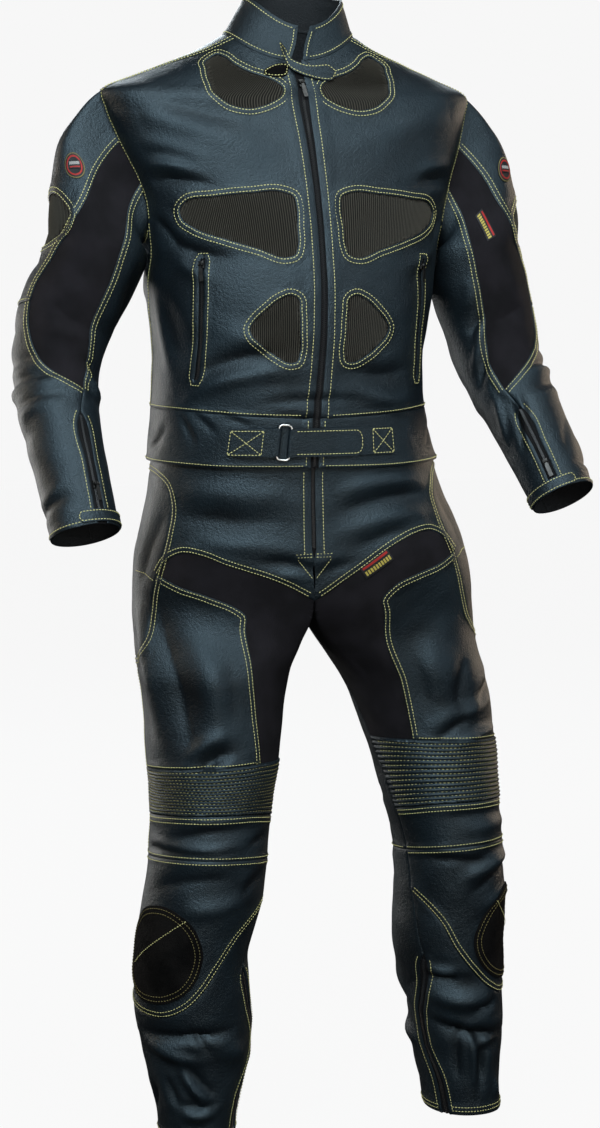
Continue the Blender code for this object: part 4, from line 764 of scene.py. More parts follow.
EDGE_RINGS = (1.3, 3.4)  # rows of points beside an edge, so that it can roll
ROW_SHARE = 0.866  # spacing of the rows of points, as a share of the step along them


def seed_rows(lo, hi, step):
    """Points in rows, each row half a step on from the last."""
    rows = []
    for k, y in enumerate(np.arange(lo[1] + step / 2, hi[1], step * ROW_SHARE)):
        x = np.arange(lo[0] + (step / 2 if k % 2 else 0), hi[0], step)
        rows.append(np.stack([x, np.full(len(x), y)], -1))
    return np.vstack(rows) if rows else np.zeros((0, 2))


def mesh_panel(surface, outline, holes, step, seeds=None):
    """Triangles of a panel: its coordinates, its faces, and the faces in each of its holes."""
    size = surface.size
    loops = [outline * size] + [hole * size for hole in holes]
    rings = EDGE_RINGS if seeds is None else ()
    seeds = seed_rows(loops[0].min(0), loops[0].max(0), step) if seeds is None else seeds * size
    seeds = seeds[inside(seeds, loops[0])]
    clear = nearest(seeds, loops)
    seeds = seeds[clear > (rings[-1] + step * 0.45 if rings else step * 0.45)]
    for reach in rings:
        for loop in loops:
            d = np.roll(loop, -1, axis=0) - np.roll(loop, 1, axis=0)
            left = units(np.stack([-d[:, 1], d[:, 0]], -1))
            for way in (1, -1):
                ring = loop + left * way * reach
                ring = ring[inside(ring, loops[0])]
                if len(ring):
                    ring = ring[nearest(ring, loops) > reach * 0.85]
                seeds = np.vstack([seeds, ring])
    points = np.vstack(loops + [seeds])
    faces, first = [], 0
    for loop in loops:
        after = np.roll(loop, -1, axis=0)
        turns_left = np.sum(loop[:, 0] * after[:, 1] - after[:, 0] * loop[:, 1]) > 0
        order = range(first, first + len(loop))
        faces.append(list(order if turns_left else reversed(order)))
        first += len(loop)
    out = delaunay_2d_cdt([Vector(p) for p in points], [], faces, 1, 1e-5)
    places = np.array([tuple(v) for v in out[0]]) / size
    kept = [[] for _ in loops]
    for face, owners in zip(out[2], out[5]):
        kept[max(owners) if owners else 0].append(face)
    return places, [np.array(k) for k in kept]


UNEVEN = 0.7  # how far the hide's unevenness lifts it
FULL_SHARE = 0.98  # the most of its width and length that a cut fills


def wobble(p):
    """Slow unevenness that no hide is without, from -1 to 1."""
    x, y, z = p[:, 0], p[:, 1], p[:, 2]
    return (
        np.sin(0.071 * x + 0.043 * z + 1.3)
        + np.sin(0.052 * y - 0.083 * z + 4.1)
        + np.sin(0.037 * x - 0.061 * y + 0.109 * z)
        + 0.6 * np.sin(0.151 * z - 0.127 * x + 2.2)
    ) / 3.6


def lie(surface, uv, p):
    """Height at which the cloth lies over its plain surface: its folds, and its unevenness."""
    return surface.relief(uv) + UNEVEN * wobble(p)


class Panel:
    """A cut piece of cloth with its place on a surface."""

    def __init__(self, surface, uv, faces):
        used = np.unique(faces)
        order = np.full(used[-1] + 1, -1)
        order[used] = np.arange(len(used))
        self.surface, self.uv, self.faces = surface, uv[used], order[faces]
        self.plain, self.normals, along_u, along_v = surface.frame(self.uv)
        p = self.plain[self.faces]
        n = np.cross(p[:, 1] - p[:, 0], p[:, 2] - p[:, 0])
        if np.sum(n * self.normals[self.faces[:, 0]]) < 0:
            self.faces = self.faces[:, ::-1]
        self.stretch = np.linalg.norm(along_u, axis=1).mean(), np.linalg.norm(along_v, axis=1).mean()
        self.height = lie(surface, self.uv, self.plain)

    def top(self):
        return self.plain + self.normals * self.height[:, None]

    def flat_size(self):
        """Width, length and area of the flat cut, in metres. Pleats and ribs make it longer."""
        p = self.top()[self.faces]
        area = np.linalg.norm(np.cross(p[:, 1] - p[:, 0], p[:, 2] - p[:, 0]), axis=1).sum() / 2
        reach = self.uv.max(0) - self.uv.min(0)
        width, length = reach[0] * self.stretch[0], reach[1] * self.stretch[1]
        length *= max(1, area / (width * length) / FULL_SHARE)
        return (width * MM, length * MM), area * MM * MM

    def border(self):
        """The panel's outer sides, as pairs of points."""
        sides = np.vstack([self.faces[:, pair] for pair in ([0, 1], [1, 2], [2, 0])]).astype(np.int64)
        count = len(self.uv)
        return sides[~np.isin(sides[:, 0] * count + sides[:, 1], sides[:, 1] * count + sides[:, 0])]

    def walled(self, wall):
        """Points and faces of the panel with a wall's thickness: its face, its back and its rim."""
        top, border, count = self.top(), self.border(), len(self.uv)
        one, two = border[:, 0], border[:, 1]
        rim = [np.stack([two, one, one + count], -1), np.stack([two, one + count, two + count], -1)]
        faces = np.vstack([self.faces, self.faces[:, ::-1] + count, *rim])
        return np.vstack([top, top - self.normals * wall]), faces

    def draw_back(self, gap):
        """Moves the border inwards by a gap."""
        after = dict(map(tuple, self.border()))
        before = {b: a for a, b in after.items()}
        top = self.top()
        for i in after:
            if i not in before:
                raise RuntimeError("a panel's border isn't whole")
            n = self.normals[i]
            one, two = np.cross(n, top[i] - top[before[i]]), np.cross(n, top[after[i]] - top[i])
            both = one / max(np.linalg.norm(one), 1e-9) + two / max(np.linalg.norm(two), 1e-9)
            self.plain[i] = self.plain[i] + both / max(np.linalg.norm(both), 0.3) * gap


def sewn(node_name, panel, wall, looks):
    """A closed wall from a panel, drawn back from its seams, as a named piece."""
    cloth = bpy.context.scene.race_suit_cloth
    panel.draw_back(cloth.seam_gap / MM / 2)
    points, faces = panel.walled(wall)
    obj = piece(f"{node_name}_cloth", points, faces, looks)
    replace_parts(obj, node_name)
    mesh, count = obj.data, len(panel.faces)
    index = np.zeros(len(faces), np.int32)
    index[count : 2 * count] = 1 if len(looks) > 1 else 0
    mesh.polygons.foreach_set("material_index", index)
    layer = mesh.uv_layers.new(name="Cut")
    corners = faces.reshape(-1) % len(panel.uv)
    layer.data.foreach_set("uv", (panel.uv[corners] * panel.surface.size * MM).astype(np.float32).reshape(-1))
    note_height(mesh, np.concatenate([panel.height, panel.height * 0]))
    size, area = panel.flat_size()


def note_height(mesh, height):
    """Keeps the height of the folds, in millimetres, for the leather's painted highlight where it stands high
    and painted shade where it lies low.
    """
    attribute = mesh.attributes.new("fold", "FLOAT", "POINT")
    attribute.data.foreach_set("value", height.astype(np.float32))


def piece(name, points, faces, looks, smooth_angle=55):
    """A mesh object from points in millimetres, on the suit's body."""
    mesh = bpy.data.meshes.new(name)
    points = np.asarray(points, np.float32) * MM
    if isinstance(faces, np.ndarray):
        corner = faces.shape[1]
        mesh.vertices.add(len(points))
        mesh.vertices.foreach_set("co", points.reshape(-1))
        mesh.loops.add(faces.size)
        mesh.loops.foreach_set("vertex_index", faces.reshape(-1).astype(np.int32))
        mesh.polygons.add(len(faces))
        mesh.polygons.foreach_set("loop_start", np.arange(0, faces.size, corner, dtype=np.int32))
        mesh.update(calc_edges=True)
    else:
        mesh.from_pydata([tuple(map(float, p)) for p in points], [], faces)
    for look in looks:
        mesh.materials.append(LOOKS[look]())
    mesh.shade_smooth()
    mesh.set_sharp_from_angle(angle=math.radians(smooth_angle))
    return on_suit(bpy.data.objects.new(name, mesh))


def on_suit(obj):
    bpy.context.scene.collection.objects.link(obj)
    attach(obj, BODY_NAME)
    return obj


def turn_out(obj, weld=False):
    """Turns all faces of a piece outwards, once it is closed where its points meet."""
    bm = bmesh.new()
    bm.from_mesh(obj.data)
    if weld:
        bmesh.ops.remove_doubles(bm, verts=bm.verts, dist=1e-6)
        bmesh.ops.holes_fill(bm, edges=bm.edges, sides=0)
    bmesh.ops.recalc_face_normals(bm, faces=bm.faces)
    bm.to_mesh(obj.data)
    bm.free()


SLOT_OF = {"leather": "leather", "collar": "leather", "stretch": "stretch", "rib": "rib", "pile": "rib"}
SLOT_OF |= {look: "tape" for look in ("tape", "teeth", "label")}


# ---------------------------------------------------------------- sewing
STITCHES = {}  # thread piece: rows of places, ways along and ways out
LAP_SHARE = 0.92  # a lapped band is this much wider beside an open seam
NEAR = 0.4  # how far on and back a stitch looks for its direction


def offset_run(surface, run, side, reach):
    """A run moved sideways over its surface by millimetres. Side 1 is to its left in its coordinates."""
    _, n, along_u, along_v = surface.frame(run)
    ahead = np.gradient(run, axis=0)
    ahead = units(along_u * ahead[:, :1] + along_v * ahead[:, 1:])
    turn = np.sign(np.sum(np.cross(along_u, along_v) * n, axis=1, keepdims=True))
    sideways = np.cross(n, ahead) * turn * side * reach
    uu, uv = np.sum(along_u * along_u, 1), np.sum(along_u * along_v, 1)
    vv = np.sum(along_v * along_v, 1)
    a, b = np.sum(sideways * along_u, 1), np.sum(sideways * along_v, 1)
    det = uu * vv - uv * uv
    return run + np.stack([(a * vv - b * uv) / det, (b * uu - a * uv) / det], -1)


def lay_thread(thread, places, ways, out):
    STITCHES.setdefault(thread, []).append(np.stack([places, ways, out], 1))


def spaced(run, pitch):
    """Distances of the middles of the stitches, teeth or ribs that fit along a run."""
    count = max(1, round(run[-1] / pitch))
    return (np.arange(count) + 0.5) * run[-1] / count


def stitch(thread, surface, run, lift=0.35, pitch=None):
    """Lays a row of stitches along a run on a surface."""
    pitch = pitch or bpy.context.scene.race_suit_thread.pitch / MM
    along = distances(surface.at(run[:, 0], run[:, 1]))
    at = spaced(along, pitch)
    places, ahead, behind = (read_off(at + step, along, run) for step in (0, NEAR, -NEAR))
    p, n, _, _ = surface.frame(places)
    rise = lie(surface, places, p) + lift
    q1 = surface.at(ahead[:, 0], ahead[:, 1]) + n * surface.relief(ahead)[:, None]
    q0 = surface.at(behind[:, 0], behind[:, 1]) + n * surface.relief(behind)[:, None]
    lay_thread(thread, p + n * rise[:, None], units(q1 - q0), n)


def line_stitch(thread, points, out):
    """A row of stitches along a line of points that are already in space."""
    points, out = np.asarray(points, float), np.asarray(out, float)
    run = distances(points)
    at = spaced(run, bpy.context.scene.race_suit_thread.pitch / MM)
    ways = units(read_off(at + NEAR, run, points) - read_off(at - NEAR, run, points))
    lay_thread(thread, read_off(at, run, points), ways, units(read_off(at, run, out)))


def loop_stitch(thread, surface, loop, side, reach, lift):
    """A row of stitches round a closed loop, at a distance from it."""
    closed = np.vstack([loop, loop[:2]])
    side *= side_of(closed * surface.size, loop * surface.size)
    stitch(thread, surface, offset_run(surface, closed, side, reach)[1:], lift=lift)


def raise_lap(panel, run, reach, share=1.0):
    """Raises the band of cloth that is lapped at a seam, as far as its last row of stitches."""
    far = nearest(panel.uv * panel.surface.size, [run * panel.surface.size]) * share
    panel.height += bpy.context.scene.race_suit_cloth.lap / MM * (1 - ease((far - reach - 0.8) / 2.2))


def roll_edges(panel, loops):
    """Rolls the cut edges of a panel down a little."""
    cloth = bpy.context.scene.race_suit_cloth
    far = nearest(panel.uv * panel.surface.size, [loop * panel.surface.size for loop in loops])
    panel.height -= cloth.roll / MM * np.exp(-((far / 1.5) ** 2))


def make_panel(
    name, surface, outline, rows=(), holes=(), thread=None, wall=None, looks=("leather", "flesh"),
    step=None, drop=0.0,
):
    """Cuts, folds, laps and sews one panel.

    A row is a seam and the distances of its stitches from it. A hole is a loop with such distances round it.
    """
    cloth = bpy.context.scene.race_suit_cloth
    uv, kept = mesh_panel(surface, outline, [hole for hole, _ in holes], step or cloth.mesh_step / MM)
    panel = Panel(surface, uv, kept[0])
    panel.height -= drop
    lift = 0.3 + cloth.lap / MM
    for run, reaches in rows:
        side = side_of(run * surface.size, outline * surface.size)
        for reach in reaches:
            stitch(thread, surface, offset_run(surface, run, side, reach), lift=lift)
        raise_lap(panel, run, reaches[-1], LAP_SHARE)
    for hole, reaches in holes:
        for reach in reaches:
            loop_stitch(thread, surface, hole, -1, reach, lift)
        raise_lap(panel, hole, reaches[-1])
    if looks[0] == "leather":
        roll_edges(panel, [outline] + [hole for hole, _ in holes])
    sewn(name, panel, wall or cloth.leather / MM, looks)


OTHER = np.array([-1, 1])
POCKET_SLIT = 3.4  # half the width of a pocket's opening
VENT_DROP = 1.4  # the vents lie this far under the leather
RIB = 0.62  # height of the vents' ribs over their middle
PLEAT = 3.6  # height of the knee's pleats
PULLS = ("jacket_zip_pull", "pocket_pull_r", "cuff_pull_r", "pocket_pull_l", "cuff_pull_l")


def vent_seeds(surface, loop, pitch):
    """Rows of points that lie closer across the ribs than along them."""
    size = surface.size
    lo, hi = (loop * size).min(0), (loop * size).max(0)
    across, down = np.meshgrid(np.arange(lo[0], hi[0], pitch / 4), np.arange(lo[1] + 3, hi[1], 7.0))
    return np.stack([across.ravel(), down.ravel()], -1) / size


def make_vent(name, surface, loop):
    """A ribbed inset, a little under the leather round it, with its ribs along the surface."""
    cloth = bpy.context.scene.race_suit_cloth
    pitch = cloth.rib_pitch / MM
    uv, kept = mesh_panel(surface, loop, [], pitch, vent_seeds(surface, loop, pitch))
    panel = Panel(surface, uv, kept[0])
    across = panel.uv[:, 0] * surface.size[0]
    panel.height += RIB * np.cos(2 * math.pi * across / pitch) - VENT_DROP
    sewn(name, panel, cloth.stretch / MM, ("rib", "flesh"))


# ---------------------------------------------------------------- zips
TAPE_DROP = 1.2
TOOTH_PITCH, TOOTH_LENGTH, TOOTH_WIDTH, TOOTH_HEIGHT = 2.3, 1.5, 2.4, 1.3


def make_teeth(name, surface, run, drop):
    """Two rows of teeth that meet along a run, each a block with a narrower top."""
    along = distances(surface.at(run[:, 0], run[:, 1]))
    count = int(along[-1] / TOOTH_PITCH * 2)
    at = (np.arange(count) + 0.5) * along[-1] / count
    places, ahead = read_off(at, along, run), read_off(at + NEAR, along, run)
    p, n, _, _ = surface.frame(places)
    way = units(surface.at(ahead[:, 0], ahead[:, 1]) - p)
    way[-1] = way[-2]
    across = np.cross(n, way)
    rise = lie(surface, places, p) - drop
    p = p + n * rise[:, None] + across * np.where(np.arange(count) % 2, 0.8, -0.8)[:, None]
    corners = []
    for up, share in ((-0.2, 1.0), (TOOTH_HEIGHT * 0.7, 1.0), (TOOTH_HEIGHT, 0.6)):
        for i, j in ((-1, -1), (1, -1), (1, 1), (-1, 1)):
            corner = across * i * TOOTH_WIDTH / 2 * share + way * j * TOOTH_LENGTH / 2 * share
            corners.append(p + n * up + corner)
    points = np.stack(corners, 1).reshape(-1, 3)
    block = [(3, 2, 1, 0), (8, 9, 10, 11)]
    for ring in (0, 4):
        block += [(ring + i, ring + (i + 1) % 4, ring + 4 + (i + 1) % 4, ring + 4 + i) for i in range(4)]
    faces = (np.arange(count)[:, None, None] * 12 + np.array(block)[None]).reshape(-1, 4)
    piece(name, points, faces, ("teeth",), smooth_angle=30)


def make_zip(name, surface, outline, run, drop=TAPE_DROP):
    """A zip's tape, a little under the cloth, and its teeth."""
    uv, kept = mesh_panel(surface, outline, [], 2.6)
    panel = Panel(surface, uv, kept[0])
    panel.height -= drop
    sewn(name, panel, 1.0, ("tape", "tape"))
    make_teeth(name + "_teeth", surface, run, drop)


SLIDER_LENGTH, SLIDER_WIDTH, SLIDER_HEIGHT = 11.0, 7.6, 3.0
CHEEK_GAP, CHEEK, CHEEK_LENGTH, CHEEK_TOP = 4.0, 1.3, 4.2, 1.2
PIN_HEIGHT, PIN_RADIUS = 4.7, 0.8


def unit(v):
    return v / np.linalg.norm(v)


def place(surface, u, v, lift=0.0):
    """A frame on a surface: the point, across (with u), up (with v) and outward."""
    p, n, _, along_v = surface.frame(np.array([[u, v]], float))
    n = n[0]
    up = unit(along_v[0] - n * (along_v[0] @ n))
    return p[0] + n * lift, np.cross(up, n), up, n


def block(bm, centre, axes, sizes, taper=1.0):
    """A box with its own axes, narrower at its outer end by the taper."""
    turn = Matrix([list(axis) for axis in axes]).transposed().to_4x4()
    matrix = Matrix.Translation(Vector(centre) * MM) @ turn
    made = bmesh.ops.create_cube(bm, size=1.0)
    for v in made["verts"]:
        share = taper if v.co.z > 0 else 1.0
        x, y, z = v.co.x * sizes[0] * share, v.co.y * sizes[1] * share, v.co.z * sizes[2]
        v.co = matrix @ Vector((x * MM, y * MM, z * MM))


def make_slider(name, surface, u, v):
    """A zip's slider: a wedge on the teeth, two cheeks and the pin that the tab turns on."""
    p, across, up, out = place(surface, u, v)
    bm = bmesh.new()
    block(bm, p + out * 0.6, (across, up, out), (SLIDER_WIDTH, SLIDER_LENGTH, SLIDER_HEIGHT), 0.86)
    for s in (-1, 1):
        middle = p + across * s * (CHEEK_GAP + CHEEK) / 2 + out * (PIN_HEIGHT + CHEEK_TOP) / 2
        block(bm, middle, (across, up, out), (CHEEK, CHEEK_LENGTH, PIN_HEIGHT + CHEEK_TOP), 0.8)
    turn = Matrix([list(up), list(out), list(across)]).transposed().to_4x4()
    pin = Matrix.Translation(Vector(p + out * PIN_HEIGHT) * MM) @ turn
    round_pin = {"radius1": PIN_RADIUS * MM, "radius2": PIN_RADIUS * MM, "depth": (CHEEK_GAP + CHEEK) * MM}
    bmesh.ops.create_cone(bm, cap_ends=True, segments=16, matrix=pin, **round_pin)
    bmesh.ops.recalc_face_normals(bm, faces=bm.faces)
    mesh = bpy.data.meshes.new(name)
    bm.to_mesh(mesh)
    bm.free()
    mesh.materials.append(LOOKS["dark metal"]())
    mesh.shade_smooth()
    obj = on_suit(bpy.data.objects.new(name, mesh))
    bevel = obj.modifiers.new("Rounded", "BEVEL")
    bevel.width, bevel.segments = 0.35 * MM, 2


# ---------------------------------------------------------------- straps
# A strap's section, from one edge to the other: half widths and walls
STRAP_SECTION = [(1, -0.5), (1.0, 0.1), (0.94, 0.42), (0.8, 0.5), (0, 0.56)]
STRAP_SECTION += [(-x, h) for x, h in STRAP_SECTION[3::-1]]


def make_strap(name, frames, wall, thread=None, inset=0.0):
    """A strap with rounded edges along frames: its middle, its width's and outward ways, half its width."""
    points, faces, n = [], [], len(STRAP_SECTION)
    for p, across, out, half in frames:
        for x, h in STRAP_SECTION:
            side = abs(x) * half if abs(x) < 0.9 else half - (1 - abs(x)) * 6
            points.append(p + across * math.copysign(side, x) + out * h * wall)
    for k in range(len(frames) - 1):
        a, b = n * k, n * (k + 1)
        faces += [(a + i, a + (i + 1) % n, b + (i + 1) % n, b + i) for i in range(n)]
    faces += [tuple(reversed(range(n))), tuple(n * (len(frames) - 1) + i for i in range(n))]
    obj = piece(name + "_panel", points, faces, ("leather",), smooth_angle=40)
    turn_out(obj)
    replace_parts(obj, name)
    if thread:
        edge_stitch(thread, frames, inset, 0.5 * wall + 0.25)


def edge_stitch(thread, frames, inset, lift, end=None):
    """One row of stitches up a strap's one edge and down its other."""
    line, ways = [], []
    for s in (1, -1):
        for p, across, out, half in frames[::s]:
            line.append(p + across * s * max(half - inset, 0.0) + out * lift)
            ways.append(out)
    line_stitch(thread, line[:end], ways[:end])


def smooth_line(rows, count):
    """Rows at an even spacing along a smooth curve; the first three columns are its place."""
    rows = np.asarray(rows, float)
    run = distances(rows[:, :3])
    return smooth(run, rows)(np.linspace(0, run[-1], count))


def front_angle(x, level):
    """The body angle at a distance across the front."""
    width = BODY_AT(np.array(float(level)))[3]
    return math.copysign(math.degrees(math.asin((abs(x) / width) ** (SQUARE / 2))), x)


BELT_LEVEL, BELT_WIDTH, BELT_WALL = -488, 35.0, 1.8
RING_X, RING_HALF, RING_TALL, RING_WIRE, RING_LIFT = -40, 8.0, 22.0, 1.5, 4.3
RING_CORNER = 5
ANCHOR_END, BELT_ROOT, BELT_TIP = -104, 104, 59
BELT_ROUND = 9.0  # radius of the belt's corners at its tip
BELTS = (("belt_strap", 1, BELT_ROOT, BELT_TIP), ("belt_anchor", -1, ANCHOR_END, ANCHOR_END + 2))


def belt_point(x, lift):
    return place(BODY_ROUND, front_angle(x, BELT_LEVEL), BELT_LEVEL, lift)


def make_ring(centre, across, up):
    """The belt's ring: a wire in a rectangle with round corners."""
    loop = []
    for cx, cz, start in ((1, 1, 0), (-1, 1, 90), (-1, -1, 180), (1, -1, 270)):
        for k in range(7):
            a = math.radians(start + 15 * k)
            x = cx * (RING_HALF - RING_CORNER) + RING_CORNER * math.cos(a)
            z = cz * (RING_TALL - RING_CORNER) + RING_CORNER * math.sin(a)
            loop.append(centre + across * x + up * z)
    data = bpy.data.curves.new("belt_ring_wire", "CURVE")
    data.dimensions = "3D"
    data.bevel_depth, data.bevel_resolution = RING_WIRE * MM, 4
    spline = data.splines.new("POLY")
    spline.points.add(len(loop) - 1)
    for point, at in zip(spline.points, loop):
        point.co = (*(at * MM), 1)
    spline.use_cyclic_u = True
    spline.use_smooth = True
    data.materials.append(LOOKS["metal"]())
    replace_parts(on_suit(bpy.data.objects.new("belt_ring_wire", data)), "belt_ring")


def belt_frames(root, tip, sign, bar, across, up, out):
    """A belt's frames under the ring's bar, round it and back over itself to the tip."""
    half, bend = BELT_WIDTH / 2, RING_WIRE + 0.4 + BELT_WALL / 2
    under, over = [], []
    for x in np.linspace(root, RING_X + sign * (RING_HALF + 4), 40):
        p, _, w, n = belt_point(x, 2.2)
        under.append((p, w, n, half))
    for k in range(13):
        a = math.radians(-90 + 15 * k)
        turn = -across * sign * math.cos(a) + out * math.sin(a)
        under.append((bar + turn * bend, up, -turn, half))
    lifts = np.linspace(RING_LIFT + bend - 0.4, 5.2, 44)
    for x, h in zip(np.linspace(RING_X + sign * (RING_HALF + 6), tip, 44), lifts):
        p, _, w, n = belt_point(x, h)
        cut_back = max(BELT_ROUND - abs(x - tip), 0)
        over.append((p, w, -n, half - (BELT_ROUND - math.sqrt(max(BELT_ROUND**2 - cut_back**2, 0)))))
    return under, over


def make_belt():
    centre, across, up, out = belt_point(RING_X, RING_LIFT)
    make_ring(centre, across, up)
    for name, sign, root, tip in BELTS:
        under, over = belt_frames(root, tip, sign, centre + across * sign * RING_HALF, across, up, out)
        make_strap(name, under + over, BELT_WALL)
        if name == "belt_strap":
            outwards = [(p, w, -n, half) for p, w, n, half in over]
            edge_stitch("belt_stitches", outwards, 3.2, BELT_WALL / 2 + 0.3, -1)
    half = BELT_WIDTH / 2 - 2.4
    for x0, x1, lift in ((-104, -66, BELT_WALL + 6.2), (75, 103, BELT_WALL + 2.0)):
        corners = [(x0, half), (x1, half), (x1, -half), (x0, -half), (x0, half)]
        cross = [(corners[0], corners[2]), (corners[3], corners[1])]
        for (xa, ha), (xb, hb) in list(zip(corners, corners[1:])) + cross:
            line, ways = [], []
            for t in np.linspace(0, 1, 12):
                p, _, w, n = belt_point(xa + (xb - xa) * t, lift)
                line.append(p + w * (ha + (hb - ha) * t))
                ways.append(n)
            line_stitch("belt_stitches", line, ways)


STRAP_WALL = 1.7
# The neck strap, from its sewn end to its free tip: surface, angle, level or height, lift, half its width
NECK_STRAP = [
    (BODY_ROUND, 17.4, 30, 2.6, 2.5),
    (BODY_ROUND, 16.2, 30, 2.6, 6.5),
    (BODY_ROUND, 14.6, 30, 2.6, 10.0),
    (BODY_ROUND, 11.5, 30, 2.6, 10.5),
    (BODY_ROUND, 8.0, 31, 2.6, 9.5),
    (BODY_ROUND, 4.0, 34, 2.8, 8.0),
    (BODY_ROUND, 0, 40, 3.4, 7.2),
    (BODY_ROUND, -5, 50, 5.0, 6.6),
    (COLLAR, -10, 3, 8.6, 6.0),
    (COLLAR, -14, 8, 13.0, 4.6),
    (COLLAR, -17, 12, 17.2, 2.0),
]
# The hook patch under its tip
NECK_HOOKS = [(-17.5, 33), (-15, 46), (-10.5, 52), (-5.6, 50), (-5, 38), (-5.8, 25), (-10.5, 20), (-15, 22)]


def make_small_straps():
    stations = []
    for surface, angle, level, lift, half in NECK_STRAP:
        p, across, up, out = place(surface, angle, level, lift)
        up = unit(up + np.array([0, 0, 1.8]))
        stations.append(np.concatenate([p + out * 2.5, up, np.cross(across, up), [half]]))
    frames = [(row[:3], unit(row[3:6]), unit(row[6:9]), row[9]) for row in smooth_line(stations, 60)]
    make_strap("neck_strap", frames, STRAP_WALL, "jacket_stitches", 2.0)
    hooks = sampled(NECK_HOOKS, BODY_SIZE, 2.0, True)
    make_patch("neck_hooks", BODY_ROUND, hooks, 2.2, "jacket_stitches", 1.8, 0.1)
    for side, tag in SIDES:
        frames = []
        for way in np.linspace(76, 190, 50):
            p, _, up, out = place(SLEEVE[side], way, CUFF - 9.5, 2.0)
            lip = min(1.0, math.sqrt(max(1 - (1 - min((way - 76) / 6, 1)) ** 2, 0.05)))
            frames.append((p, up, out, 8.0 * lip))
        make_strap(f"cuff_strap_{tag}", frames, STRAP_WALL, f"sleeve_stitches_{tag}", 2.2)


# ---------------------------------------------------------------- patches and badges
def make_patch(name, surface, loop, lift, thread, reach, rough):
    """A patch of looped pile, sewn onto the cloth."""
    uv, kept = mesh_panel(surface, loop, [], 2.6)
    panel = Panel(surface, uv, kept[0])
    far = nearest(panel.uv * surface.size, [loop * surface.size])
    panel.height += lift + 0.5 * ease(far / 2.4) - 0.4
    panel.height += rough * np.random.default_rng(7).normal(size=len(panel.height)) * ease(far / 3)
    points, faces = panel.walled(1.0)
    obj = piece(name, points, faces, ("pile",))
    size, area = panel.flat_size()
    loop_stitch(thread, surface, loop, 1, reach, lift + 0.25)
    return obj


def leaning(surface, u, v, lean, x, y):
    """Places on a surface that lie at x and y, in millimetres, from a middle, turned by an angle."""
    _, _, along_u, along_v = surface.frame(np.array([[u, v]], float))
    c, s = math.cos(math.radians(lean)), math.sin(math.radians(lean))
    scale = np.array([np.linalg.norm(along_u), np.linalg.norm(along_v)])
    uv = np.array([u, v]) + np.stack([x * c - y * s, x * s + y * c], -1) / scale
    p, n, _, _ = surface.frame(uv)
    return p, n, lie(surface, uv, p)


# A badge's rings from its middle: share of its size, height, and whether it is red there
BADGE_RINGS = (
    (0.0, 1.5, 0), (0.62, 1.5, 0), (0.66, 1.85, 1), (0.8, 1.85, 1),
    (0.84, 1.5, 0), (0.92, 1.5, 0), (1.0, 1.2, 0), (1.0, 0.1, 0),
)
BADGE_STEPS = 48


def make_badge(name, surface, u, v, across, tall, lean):
    """A plain oval badge: a dark field in a red ring, with a sewn rim."""
    turns = 2 * math.pi * np.arange(BADGE_STEPS) / BADGE_STEPS
    shares = np.array([ring[0] for ring in BADGE_RINGS])[:, None]
    x, y = (across * shares * np.cos(turns)).ravel(), (tall * shares * np.sin(turns)).ravel()
    p, n, rise = leaning(surface, u, v, lean, x, y)
    lift = np.repeat([ring[1] for ring in BADGE_RINGS], BADGE_STEPS)
    points = p + n * (rise + lift)[:, None]
    points[:BADGE_STEPS] = points[:BADGE_STEPS].mean(0)
    faces, index = [], []
    for ring in range(1, len(BADGE_RINGS)):
        red = BADGE_RINGS[ring][2] and BADGE_RINGS[ring - 1][2]
        for k in range(BADGE_STEPS):
            a, b = ring * BADGE_STEPS + k, ring * BADGE_STEPS + (k + 1) % BADGE_STEPS
            faces.append((a, b, b - BADGE_STEPS) if ring == 1 else (a, b, b - BADGE_STEPS, a - BADGE_STEPS))
            index.append(2 if ring == len(BADGE_RINGS) - 2 else red)
    obj = piece(name, points, faces, ("label", "red", "dull thread"))
    obj.data.polygons.foreach_set("material_index", np.array(index, np.int32))
    turn_out(obj, weld=True)


LABEL_COLUMNS, LABEL_ROWS = 34, 12


def make_label(name, surface, u, v, lean, wide, tall, lift=0.0, looks=("label", "red", "bars")):
    """A small woven label with no words: a red line over a row of pale bars."""
    columns, rows = LABEL_COLUMNS, LABEL_ROWS
    across, down = np.meshgrid(np.linspace(-0.5, 0.5, columns), np.linspace(-0.5, 0.5, rows))
    p, n, rise = leaning(surface, u, v, lean, across.ravel() * wide, down.ravel() * tall)
    border = np.maximum(np.abs(across), np.abs(down)).ravel() > 0.499
    top = p + n * (rise + lift + np.where(border, 0.6, 1.0))[:, None]
    low = p + n * (rise + lift - 0.2)[:, None]
    count = columns * rows
    faces, index = [], []
    for j in range(rows - 1):
        for i in range(columns - 1):
            a = j * columns + i
            faces.append((a, a + 1, a + columns + 1, a + columns))
            faces.append((a + count, a + columns + count, a + columns + 1 + count, a + 1 + count))
            woven = 1 < i < columns - 3
            line = woven and j in (rows - 4, rows - 3)
            bar = woven and 2 <= j <= 5 and i % 3 != 1
            index += [1 if line else 2 if bar else 0, 0]
    last = (rows - 1) * columns
    ring = list(range(columns)) + [j * columns + columns - 1 for j in range(1, rows)]
    ring += [last + i for i in range(columns - 2, -1, -1)] + [j * columns for j in range(rows - 2, 0, -1)]
    faces += [(a, a + count, b + count, b) for a, b in zip(ring, ring[1:] + ring[:1])]
    obj = piece(name, np.vstack([top, low]), faces, looks)
    index += [0] * len(ring)
    obj.data.polygons.foreach_set("material_index", np.array(index, np.int32))
    turn_out(obj)




# ---------------------------------------------------------------- finishes
MADE = {}


def socket(group, name, kind, value=None, into="INPUT"):
    made = group.interface.new_socket(name=name, in_out=into, socket_type=f"NodeSocket{kind}")
    if value is not None:
        made.default_value = value
    return made


